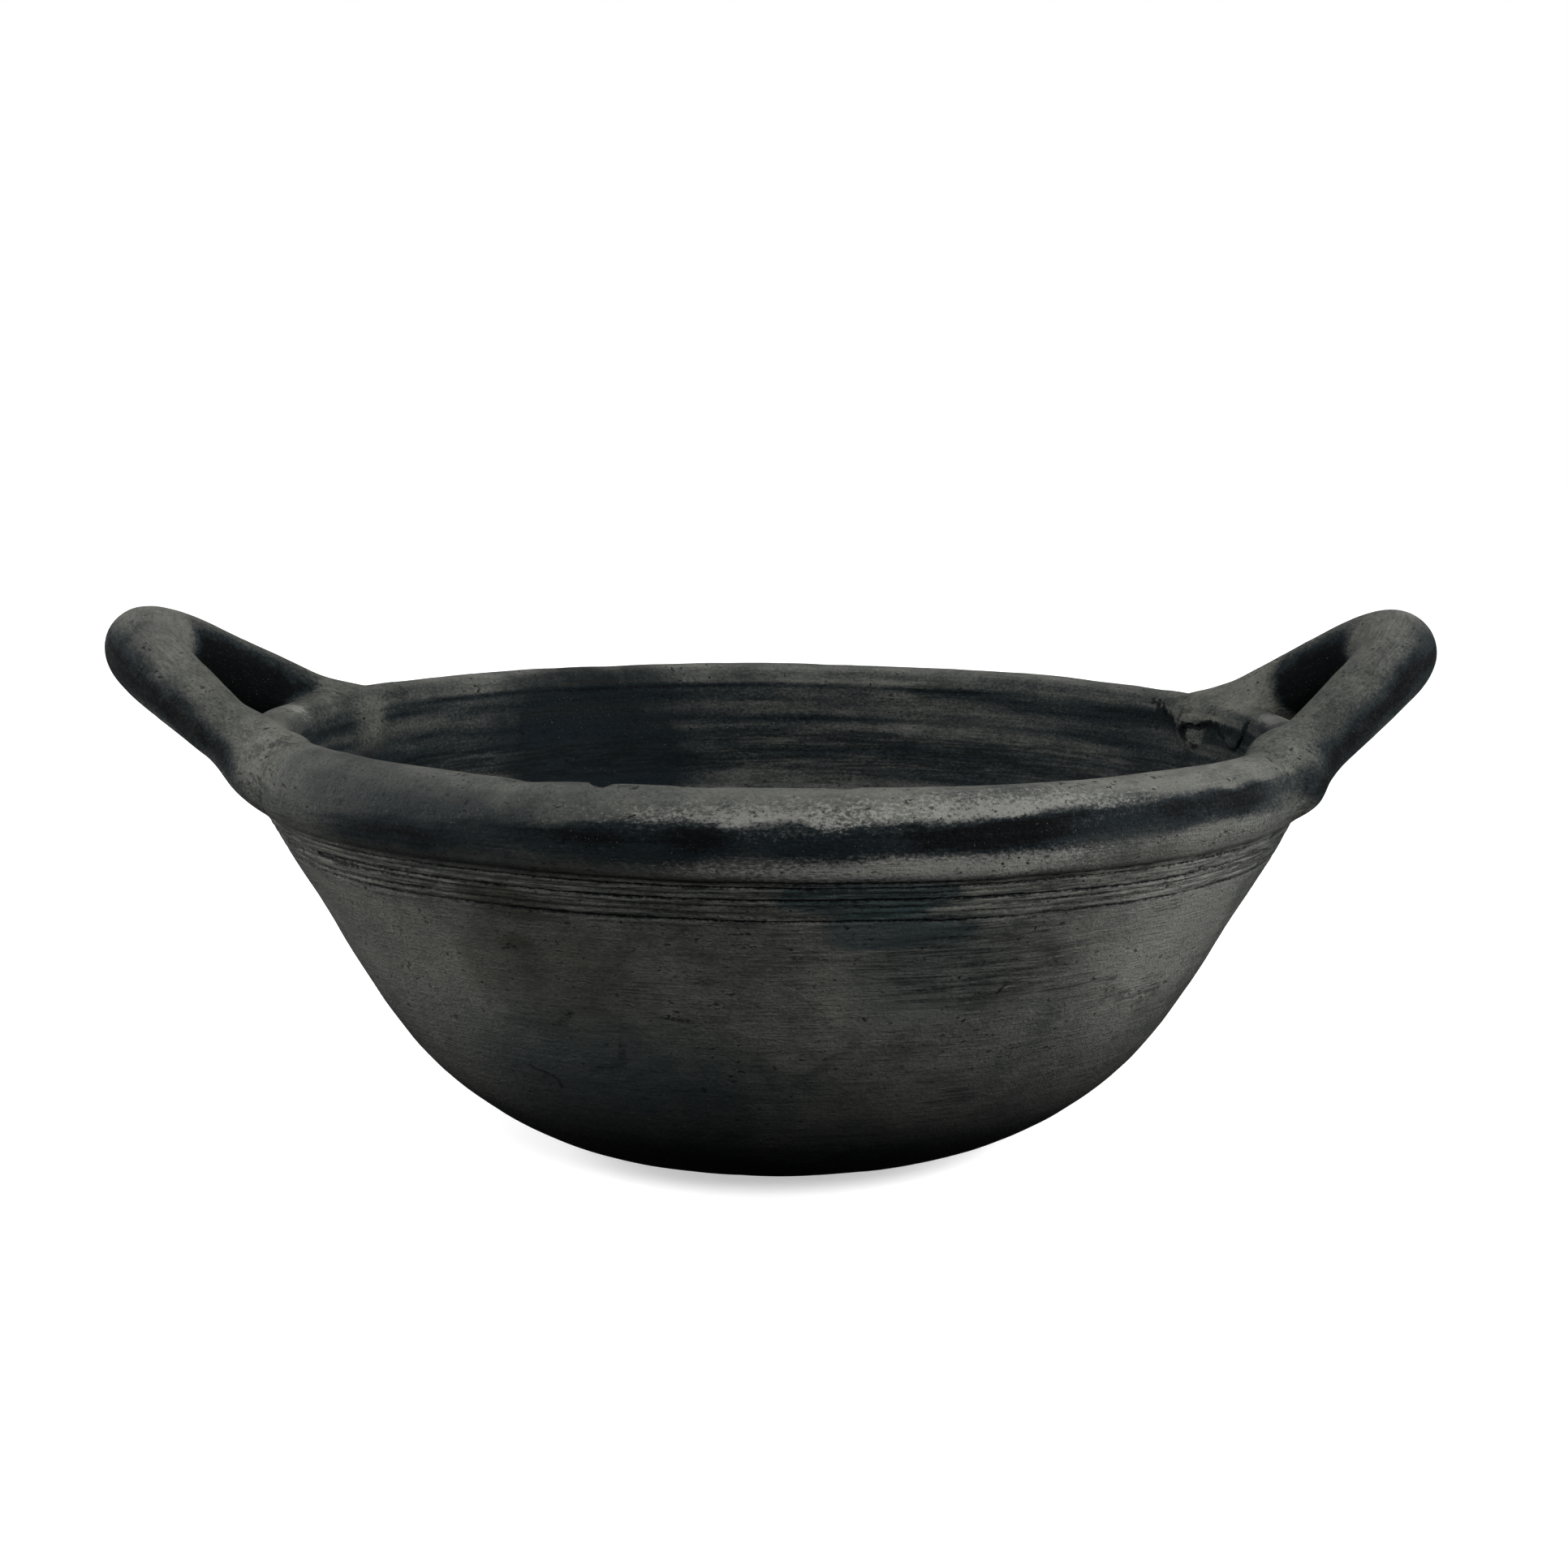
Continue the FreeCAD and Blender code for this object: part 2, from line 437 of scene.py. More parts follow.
@dataclass(frozen=True)
class Outline:
    """Cross-section of the bowl as one open curve, from the middle of the foot to the middle of the floor.

    The rows of the skin are the points of this curve. Marks are the rows where one piece ends.
    """

    foot_radius: float = 34.0
    pole_radius: float = 1.2        # of the smallest ring, round the middle of the foot and of the floor
    wall_thickness: float = 7.5
    heel_reach: float = 1.3         # how far the rim's lower edge overhangs the wall
    outside: tuple[tuple[float, float], ...] = (
        (34.0, 0.0), (38.9, 2.2), (46.8, 4.4), (56.0, 7.1), (68.9, 14.3), (79.3, 22.9), (87.6, 32.9),
        (94.7, 44.3), (101.9, 57.3), (110.2, 71.5), (114.2, 79.0))
    lap_heights: tuple[float, float] = (12.0, 38.0)     # floor to belly, belly to wall
    band_low: float = 69.0                              # lowest row of the finely divided band
    spacings: tuple[float, ...] = (1.0, 1.1, 1.2, 0.26)     # of rows on floor, belly, wall and band
    fine_rows: int = 4000           # of the outside before rows are picked from it
    foot_rows: int = 20
    roll_rows: int = 96
    neck_rows: int = 10
    inside_rows: int = 64
    floor_rows: int = 16

    def corners(self) -> dict[str, list[tuple[float, float]]]:
        """Corner points of the roll and of the curve inside it, worked out from the frame's sizes.

        Returns:
            Points as distance from the axis and height, by the name of the stretch.
        """
        r, top, step = RIM_RADIUS, RIM_TOP, STEP_Z
        wall = self.outside[-1][0]
        return {
            "roll": [
                (wall + 0.1, step), (wall + self.heel_reach, step + 0.35), (r - 2.6, step + 1.9),
                (r - 0.55, step + 4.9), (r, step + 8.3), (r - 0.5, step + 11.4), (r - 2.3, step + 14.6),
                (r - 4.9, top - 0.55), (r - 7.6, top), (r - 9.9, top - 0.35), (r - 11.6, top - 1.5),
                (r - 12.7, top - 3.6), (r - 13.2, top - 6.6)],
            "inside": [
                (r - 13.2, top - 6.6), (r - 13.25, top - 10.5), (r - 13.35, top - 13.2),
                (r - 13.75, top - 15.6)],
        }

    def rows(self) -> tuple[Array, dict[str, int]]:
        """Points of the outline, and the rows at which stretches begin.

        The outside is a spline through the measured corners. The inside is the same spline moved
        inwards by the wall's thickness, square to itself.

        Returns:
            (n, 2) points as distance from the axis and height, and row numbers by name.
        """
        corners = self.corners()
        radii = np.linspace(self.pole_radius, self.foot_radius, self.foot_rows)[:-1]
        foot = np.stack([radii, np.zeros_like(radii)], axis=1)
        dense = smooth_curve(list(self.outside), self.fine_rows)
        edges = (0.0, *self.lap_heights, self.band_low, dense[-1, 1])
        outer = []
        for low, high, spacing in zip(edges, edges[1:], self.spacings):
            stretch = dense[(dense[:, 1] >= low) & (dense[:, 1] <= high)]
            length = np.linalg.norm(np.diff(stretch, axis=0), axis=1).sum()
            count = max(3, int(round(length / spacing)))
            pick = np.linspace(0, len(stretch) - 1, count + 1).round().astype(int)
            outer.append(stretch[pick][:-1])
        roll = smooth_curve(corners["roll"], self.roll_rows)
        neck = smooth_curve(corners["inside"], self.neck_rows)[1:]
        slope = unit(np.gradient(dense, axis=0))
        inner = dense + self.wall_thickness * np.stack([-slope[:, 1], slope[:, 0]], axis=1)
        under_neck = inner[:, 1] < neck[-1, 1] - 1.5
        inner = inner[under_neck & (inner[:, 0] > self.foot_radius * 0.8)][::-1]
        inner = inner[np.linspace(0, len(inner) - 1, self.inside_rows).round().astype(int)]
        radii = np.linspace(inner[-1, 0], self.pole_radius, self.floor_rows)[1:]
        floor = np.stack([radii, np.full_like(radii, inner[-1, 1])], axis=1)
        stretches = [("foot", foot), ("floor_side", outer[0]), ("belly", outer[1]), ("wall", outer[2]),
                     ("band", outer[3]), ("roll", roll), ("neck", neck), ("inside", inner), ("floor", floor)]
        marks, total = {}, 0
        for name, points in stretches:
            marks[name] = total
            total += len(points)
        marks["end"] = total
        return np.vstack([points for _, points in stretches]), marks


class RimField:
    """Signed distance to the bowl's cross-section near the rim, read from a table by bilinear blending."""

    LOW = np.array([88.0, 56.0])        # lowest radius and height of the table
    STEP = 0.25
    SIZE = (200, 240)
    MIDDLE = (112.0, 88.0)              # of the rim, and how far from it the outline still counts
    NEAR = 70.0
    BATCH = 64                          # edges of the outline measured at a time

    def __init__(self, outline: Array) -> None:
        """Fills the table.

        Args:
            outline: points of the whole outline, in order.
        """
        a = np.vstack([outline, [[0.0, outline[-1, 1]], [0.0, 0.0]]])
        b = np.roll(a, -1, axis=0)
        near = np.hypot(*(0.5 * (a + b) - self.MIDDLE).T) < self.NEAR
        i, j = np.meshgrid(np.arange(self.SIZE[0]), np.arange(self.SIZE[1]), indexing="ij")
        p = np.stack([i, j], axis=-1).reshape(-1, 1, 2) * self.STEP + self.LOW
        nearest = np.full(len(p), np.inf)
        for first in range(0, near.sum(), self.BATCH):
            start, end = a[near][first:first + self.BATCH], b[near][first:first + self.BATCH]
            run = end - start
            share = np.clip(((p - start) * run).sum(-1) / (run**2).sum(-1).clip(1e-12), 0.0, 1.0)
            away = np.linalg.norm(p - start - share[..., None] * run, axis=-1)
            nearest = np.minimum(nearest, away.min(axis=1))
        x, z = p[:, 0, 0][:, None], p[:, 0, 1][:, None]
        spans = (a[:, 1] > z) != (b[:, 1] > z)
        rise = np.where(b[:, 1] == a[:, 1], 1.0, b[:, 1] - a[:, 1])
        crossing = a[:, 0] + (z - a[:, 1]) * (b[:, 0] - a[:, 0]) / rise
        inside = (spans & (x < crossing)).sum(axis=1) % 2 == 1
        self.table = np.where(inside, -nearest, nearest).reshape(self.SIZE)

    def distance(self, points: Array) -> Array:
        """Distance from the bowl's surface: negative in the clay, positive outside.

        Args:
            points: (..., 3) positions.

        Returns:
            Distances in millimetres.
        """
        rz = np.stack([np.hypot(points[..., 0], points[..., 1]), points[..., 2]], axis=-1)
        steps = (rz - self.LOW) / self.STEP
        cell = np.clip(np.floor(steps).astype(int), 0, np.array(self.SIZE) - 2)
        t = np.clip(steps - cell, 0.0, 1.0)
        i, j = cell[..., 0], cell[..., 1]
        u, v = t[..., 0], t[..., 1]
        return ((1 - u) * (1 - v) * self.table[i, j] + u * (1 - v) * self.table[i + 1, j]
                + (1 - u) * v * self.table[i, j + 1] + u * v * self.table[i + 1, j + 1])


# ---- incised lines and damage ---------------------------------------------------------------------

@dataclass(frozen=True)
class Groove:
    """One line cut into the leather-hard wall under the rim while the bowl turned."""

    height: float           # of the line, in millimetres above the foot
    depth: float
    width: float
    wander: float           # how far the line strays up and down
    seed: int
    start: float = -180.0   # degrees round the bowl from the front, anticlockwise seen from above
    end: float = 180.0
    fade: float = 6.0       # degrees over which it runs out at each end

    def depth_at(self, points: Array, angle: Array) -> Array:
        """Depth of the cut: a bell across the line, uneven along it, and zero past its two ends.

        Args:
            points: (..., 3) positions on the wall.
            angle: degrees round the bowl from the front.

        Returns:
            Depths in millimetres.
        """
        flat = points * [1, 1, 0]
        stray = self.wander * layered_noise(flat, 38.0, self.seed, 2)
        stray = stray + 0.12 * layered_noise(flat, 2.6, self.seed + 3, 2)
        pressure = 0.8 + 0.45 * layered_noise(flat, 16.0, self.seed + 7, 3)
        crumbs = 1.0 + 0.55 * layered_noise(points, 1.4, self.seed + 11, 2)
        ends = np.ones_like(angle)
        if self.end - self.start < 360.0:
            ends = ramp(angle, self.start, self.start + self.fade)
            ends = ends * (1.0 - ramp(angle, self.end - self.fade, self.end))
        across = (points[..., 2] - self.height - stray) / (self.width * crumbs)
        return self.depth * pressure.clip(0.15, 1.6) * ends * np.exp(-across**2)


@dataclass(frozen=True)
class Dent:
    """A small hollow or a raised lump at one place on the skin: a rounded bell of the given half sizes."""

    at: Triple
    size: Triple
    depth: float
    ragged: float = 0.35

    def depth_at(self, points: Array) -> Array:
        """Depth of the hollow: a flat-topped bell of the scaled distance, with a ragged edge.

        Args:
            points: (..., 3) positions.

        Returns:
            Depths in millimetres.
        """
        away = np.linalg.norm((points - np.array(self.at)) / np.array(self.size), axis=-1)
        rough = 1.0 + self.ragged * layered_noise(points, 1.1, 71, 2)
        return self.depth * np.exp(-(away * rough) ** 4)


GROOVES = (
    Groove(height=71.2, depth=0.8, width=0.28, wander=0.25, seed=201),
    Groove(height=72.8, depth=0.3, width=0.3, wander=0.6, seed=214, start=-78.0, end=66.0),
    Groove(height=74.4, depth=0.45, width=0.3, wander=0.4, seed=227),
    Groove(height=75.6, depth=0.95, width=0.28, wander=0.25, seed=240),
    Groove(height=77.2, depth=0.35, width=0.3, wander=0.5, seed=253, start=-95.0, end=30.0),
    Groove(height=78.3, depth=0.75, width=0.27, wander=0.45, seed=266),
    Groove(height=74.8, depth=0.6, width=0.34, wander=2.4, seed=281, start=-76.0, end=-38.0),
    Groove(height=76.6, depth=0.6, width=0.34, wander=2.0, seed=295, start=-82.0, end=-44.0),
    Groove(height=73.0, depth=0.45, width=0.3, wander=2.6, seed=307, start=-70.0, end=-34.0),
)
DENTS = (
    Dent(at=(-32.5, -104.5, 97.0), size=(2.6, 5.0, 3.0), depth=1.0),
    Dent(at=(-45.0, -101.0, 97.0), size=(8.0, 3.0, 2.0), depth=0.4),
    Dent(at=(-14.0, -109.0, 97.0), size=(5.0, 2.6, 2.0), depth=0.35),
    Dent(at=(12.0, -110.5, 96.8), size=(3.0, 2.0, 2.0), depth=0.3),
    Dent(at=(63.0, 82.0, 88.0), size=(1.8, 3.0, 1.4), depth=0.8),
)


def rim_soot_and_shade(points: Array) -> Array:
    """Smoke stain and painted shade on the bowl's outside, 0 to 1: a ragged dark band round the middle of the
    rim's roll, painted where the roll faces the dark front.

    It is the product of two smooth steps in height, the lower one long, made ragged by noise that runs
    round the bowl, and of a patchy strength.

    Args:
        points: (..., 3) positions.

    Returns:
        Strength of the stain and painted shade.
    """
    ragged = layered_noise(points, (11.0, 11.0, 3.0), 421, 4)
    patchy = layered_noise(points, (21.0, 21.0, 30.0), 437, 2)
    to_right = np.clip(points[..., 0] / 60.0, -1.4, 1.3)
    rise = 1.6 * to_right * np.abs(to_right)
    height = points[..., 2] - STEP_Z - rise + 1.9 * ragged
    outside = ramp(np.hypot(points[..., 0], points[..., 1]), 111.0, 114.0)
    # The dark band round the roll's middle: stain and painted shade in one.
    band = ramp(height, 1.5, 8.0) * (1 - ramp(height, 9.8, 12.6))
    past_left_root = ramp(points[..., 0], -97.0, -80.0)
    return band * outside * (1.05 + 0.55 * patchy).clip(0.4, 1.3) * (0.3 + 0.7 * past_left_root)


def inner_soot(points: Array) -> Array:
    """Smoke stain on the bowl's inside, 0 to 1.

    It is a sum of three noises squeezed in height, so that long streaks run round the bowl. The
    middle one counts only just under the rim.

    Args:
        points: (..., 3) positions.

    Returns:
        Strength of the stain.
    """
    streaks = layered_noise(points, (46.0, 46.0, 5.0), 441, 3)
    rings = layered_noise(points, (300.0, 300.0, 2.6), 451, 2)
    under_rim = ramp(points[..., 2], 72.0, 86.0) * (1 - ramp(points[..., 2], 92.0, 95.0))
    fine = layered_noise(points, (24.0, 24.0, 1.6), 461, 3)
    return np.clip(0.62 + 0.3 * streaks + 0.65 * rings * under_rim + 0.3 * fine, 0.0, 1.0)


def rim_and_inner_soot_and_shade(points: Array) -> Array:
    """Smoke stain and painted shade over the rim, with the inside's stain from the crest of the roll inwards.
    """
    inwards = 1 - ramp(np.hypot(points[..., 0], points[..., 1]), RIM_RADIUS - 12.8, RIM_RADIUS - 9.0)
    return rim_soot_and_shade(points) + inwards * inner_soot(points)


# ---- handles --------------------------------------------------------------------------------------

ALONG_Y = np.array([0.0, 1.0, 0.0])


@dataclass
class Loop:
    """Centre line of one handle: two straight legs and a bend, in a plane that rises outwards.

    Distances in the plane are the reach from the line between the two roots, and Y along that line.
    """

    side: Side
    tip: tuple[float, float]            # X and height of the grip's centre line
    root: Triple                        # X, Y and height of the roots, all positive
    thickness: float                    # radius of the coil
    root_press: tuple[float, float]     # how much thinner the front and back ends are
    inner_shade_from: float                   # share of half its length at which the painted shade inside the back leg starts
    bend: float = 24.0                  # radius of the bend
    press_length: float = 34.0          # how far from a root the coil is pressed thin
    rise: float = field(init=False)
    reach: float = field(init=False)
    lean: float = field(init=False)
    leg: float = field(init=False)

    def __post_init__(self) -> None:
        """Works out the leg, the tangent from the root to the bend's circle."""
        out, up = self.tip[0] - self.root[0], self.tip[1] - self.root[2]
        self.rise, self.reach = math.atan2(up, out), math.hypot(out, up)
        centre = self.reach - self.bend
        away = math.hypot(centre, self.root[1])
        self.lean = math.atan2(self.root[1], centre) - math.asin(self.bend / away)
        self.leg = math.sqrt(away**2 - self.bend**2)

    @property
    def half_turn(self) -> float:
        """Angle of the bend on one side of the grip, in radians."""
        return math.pi / 2 - self.lean

    @property
    def length(self) -> float:
        """Length of the whole centre line from root to root."""
        return 2 * (self.leg + self.bend * self.half_turn)

    def axes(self) -> tuple[Array, Array]:
        """Directions of growing reach and of the plane's normal, which points up and inwards."""
        s, c = math.sin(self.rise), math.cos(self.rise)
        return np.array([self.side.value * c, 0.0, s]), np.array([-self.side.value * s, 0.0, c])

    def origin(self) -> Array:
        """Middle of the line between the roots."""
        return np.array([self.side.value * self.root[0], 0.0, self.root[2]])

    def place(self, reach: Array, y: Array) -> Array:
        """Points of the plane in space."""
        out, _ = self.axes()
        return self.origin() + reach[..., None] * out + y[..., None] * ALONG_Y

    def centre_line(self, s: Array) -> tuple[Array, Array]:
        """Points and directions at lengths s along the line from the front root to the back one.

        The line is symmetric, so the back half is the front half with Y turned round.

        Args:
            s: (n,) lengths; below 0 or past the end they run straight on.

        Returns:
            (n, 3) points and (n, 3) unit directions.
        """
        back = s > self.length / 2
        d = np.where(back, self.length - s, s)
        c, k = math.cos(self.lean), math.sin(self.lean)
        on_bend = d > self.leg
        straight = np.minimum(d, self.leg)
        angle = self.half_turn - np.maximum(d - self.leg, 0.0) / self.bend
        reach = np.where(on_bend, self.reach - self.bend + self.bend * np.cos(angle), straight * c)
        y = np.where(on_bend, self.bend * np.sin(angle), self.root[1] - straight * k)
        reach_rate = np.where(on_bend, np.sin(angle), c) * np.where(back, -1.0, 1.0)
        y_rate = np.where(on_bend, np.cos(angle), k)
        out, _ = self.axes()
        direction = reach_rate[:, None] * out + y_rate[:, None] * ALONG_Y
        return self.place(reach, np.where(back, y, -y)), unit(direction)

    def radius(self, root_distance: Array, y: Array) -> Array:
        """Half the coil's thickness at a distance from the nearer root, on the front or the back leg.

        It thins towards its pressed-in ends, by a half bell.

        Args:
            root_distance: lengths along the centre line from the nearer root.
            y: Y of the same places; the front leg has negative values.

        Returns:
            Radii in millimetres.
        """
        front, back = self.root_press
        press = front + (back - front) * ramp(y, -12.0, 12.0)
        return self.thickness - press * bump(np.maximum(root_distance, 0.0), self.press_length)

    def beside_leg(self, points: Array) -> tuple[Array, Array, Array, Array, Array]:
        """Where points lie in the loop's plane, with the back half turned onto the front one.

        Args:
            points: (..., 3) positions.

        Returns:
            Reach, distance from the middle of the loop, and height over the plane; then the length
            along the leg from its root, and the distance beside the leg, positive outside the loop.
        """
        out, normal = self.axes()
        rel = points - self.origin()
        reach, y, height = rel @ out, np.abs(rel[..., 1]), rel @ normal
        c, k = math.cos(self.lean), math.sin(self.lean)
        from_root = self.root[1] - y
        return reach, y, height, reach * c + from_root * k, reach * k - from_root * c

    def distance(self, points: Array) -> Array:
        """Distance from the coil's surface: negative in the clay.

        The distance to the centre line is that to the leg's line or to the bend's circle, whichever the
        point's own half lies beside, less the coil's radius there.

        Args:
            points: (..., 3) positions.

        Returns:
            Distances in millimetres.
        """
        reach, y, height, length, beside = self.beside_leg(points)
        along = np.clip(length, 0.0, self.leg)
        off_leg = np.hypot(length - along, beside)
        centre = self.reach - self.bend
        angle = np.arctan2(y, reach - centre)
        off_bend = np.abs(np.hypot(reach - centre, y) - self.bend)
        on_bend = (angle < self.half_turn) & (angle > -0.1)
        off = np.where(on_bend, np.minimum(off_bend, off_leg), off_leg)
        root_distance = np.where(on_bend & (off_bend < off_leg),
                                 self.leg + self.bend * (self.half_turn - angle), along)
        return np.hypot(off, height) - self.radius(root_distance, points[..., 1])

    def around(self, points: Array) -> tuple[Array, Array]:
        """Where points lie round and along the coil.

        Args:
            points: (..., 3) positions near the coil.

        Returns:
            Degrees round the coil, 0 on the loop's outer side and 90 on its upper side, and the share
            of the way from the nearer root to the grip.
        """
        reach, y, height, along, beside = self.beside_leg(points)
        centre = self.reach - self.bend
        angle = np.arctan2(y, reach - centre)
        on_bend = along > self.leg
        outside = np.where(on_bend, np.hypot(reach - centre, y) - self.bend, beside)
        length = np.where(on_bend, self.leg + self.bend * (self.half_turn - angle), along)
        return np.degrees(np.arctan2(height, outside)), 2 * length / self.length

    def soot_and_shade(self, points: Array) -> Array:
        """Smoke stain and painted shade on the coil: a dark band on its outer side that is stain and painted
        shade in one, and painted shade on the inner side of the back leg.

        Each is a bell of the angle round the coil, times smooth steps along it, made ragged by noise.

        Args:
            points: (..., 3) positions near the coil.

        Returns:
            Strength of the darkening; 1 and more is full black.
        """
        degrees, share = self.around(points)
        ragged = layered_noise(points, 9.0, 401, 3)
        share = share + 0.15 * ragged
        turned = (degrees + 180.0) % 360.0 - 180.0
        # dark band on the outer side: stain and painted shade
        band = 1.2 * bump(turned + 26.0 + 20.0 * ragged, 40.0) * (1.0 - 0.35 * ramp(share, 0.8, 1.0))
        behind = ramp(points[..., 1], 2.0, 12.0)
        started = ramp(share, self.inner_shade_from, self.inner_shade_from + 0.24)
        # painted shade on the inner side of the back leg, inside the loop
        inside = bump(np.abs(turned) - 165.0, 62.0) * started * behind
        return np.clip(band + 1.6 * inside, 0.0, 1.6)


@dataclass
class Handle:
    """A round coil of clay bent into a loop, with its ends sunk in the rim."""

    loop: Loop
    hand: HandMade
    rows: int = 330
    columns: int = 132
    start: float = 5.0      # how far up the leg from the root the coil's skin begins, under the wad

    def skin(self) -> tuple[Array, Array, Array]:
        """Grid of the coil: a circle carried along the centre line, pushed out by the shared lumps.

        Returns:
            (rows, columns, 3) points before the sag, their normals, and coordinates that run along
            and round the coil.
        """
        s = np.linspace(self.start, self.loop.length - self.start, self.rows)
        centre, direction = self.loop.centre_line(s)
        _, normal = self.loop.axes()
        sideways = unit(np.cross(normal, direction))
        u = np.linspace(0.0, 2 * math.pi, self.columns, endpoint=False)
        spoke = np.cos(u)[None, :, None] * sideways[:, None] + np.sin(u)[None, :, None] * normal
        root_distance = np.minimum(s, self.loop.length - s)
        radius = self.loop.radius(root_distance, centre[:, 1])[:, None]
        bare = centre[:, None] + radius[..., None] * spoke
        grid = bare + spoke * self.hand.lumps(bare)[..., None]
        flow = np.stack([s[:, None] + 0 * u, -radius * np.cos(u), radius * np.sin(u)], axis=-1)
        return grid, grid_normals(self.hand.sag(grid)), flow

    def build(self, name: str) -> bpy.types.Object:
        """Makes the coil's mesh and closes its two buried ends.

        Args:
            name: name of the piece.

        Returns:
            The piece, without its finish.
        """
        grid, normals, flow = self.skin()
        centre, direction = self.loop.centre_line(np.array([self.start, self.loop.length - self.start]))
        points = np.vstack([self.hand.sag(grid).reshape(-1, 3), self.hand.sag(centre)])
        count = self.rows * self.columns
        last = np.arange(count - self.columns, count)
        fans = [pole_fan(np.arange(self.columns), count, True), pole_fan(last, count + 1, False)]
        faces = [closed_quads(self.rows, self.columns), np.vstack(fans)]
        normals = np.vstack([normals.reshape(-1, 3), -direction[:1], direction[1:]])
        soot_and_shade = np.concatenate([self.loop.soot_and_shade(grid).reshape(-1), [0, 0]])
        flow = np.vstack([flow.reshape(-1, 3), np.zeros((2, 3))])
        return make_mesh(name, points, faces, normals,
                         {"flow": flow, "hollow": np.zeros(count + 2), "soot_and_shade": soot_and_shade})


# ---- luting wads ----------------------------------------------------------------------------------

@dataclass(frozen=True)
class WadEdge:
    """How a wad ends inside the bowl: smeared out thin, unless told otherwise."""

    proud: float = 0.06             # how far its skin stands above the coil and the rim
    rise: tuple[float, float] = (0.5, 5.5)      # distances from its edge over which the skin comes up
    ragged: float = 3.0
    torn_edge_shadow: float = 0.15              # how dark the painted shadow along its torn edge is
    apron: float = 9.0              # how much lower it reaches inside the bowl than outside


SMEARED = WadEdge()
TORN = WadEdge(proud=0.7, rise=(0.8, 2.0), ragged=9.0, torn_edge_shadow=2.2, apron=-3.6)


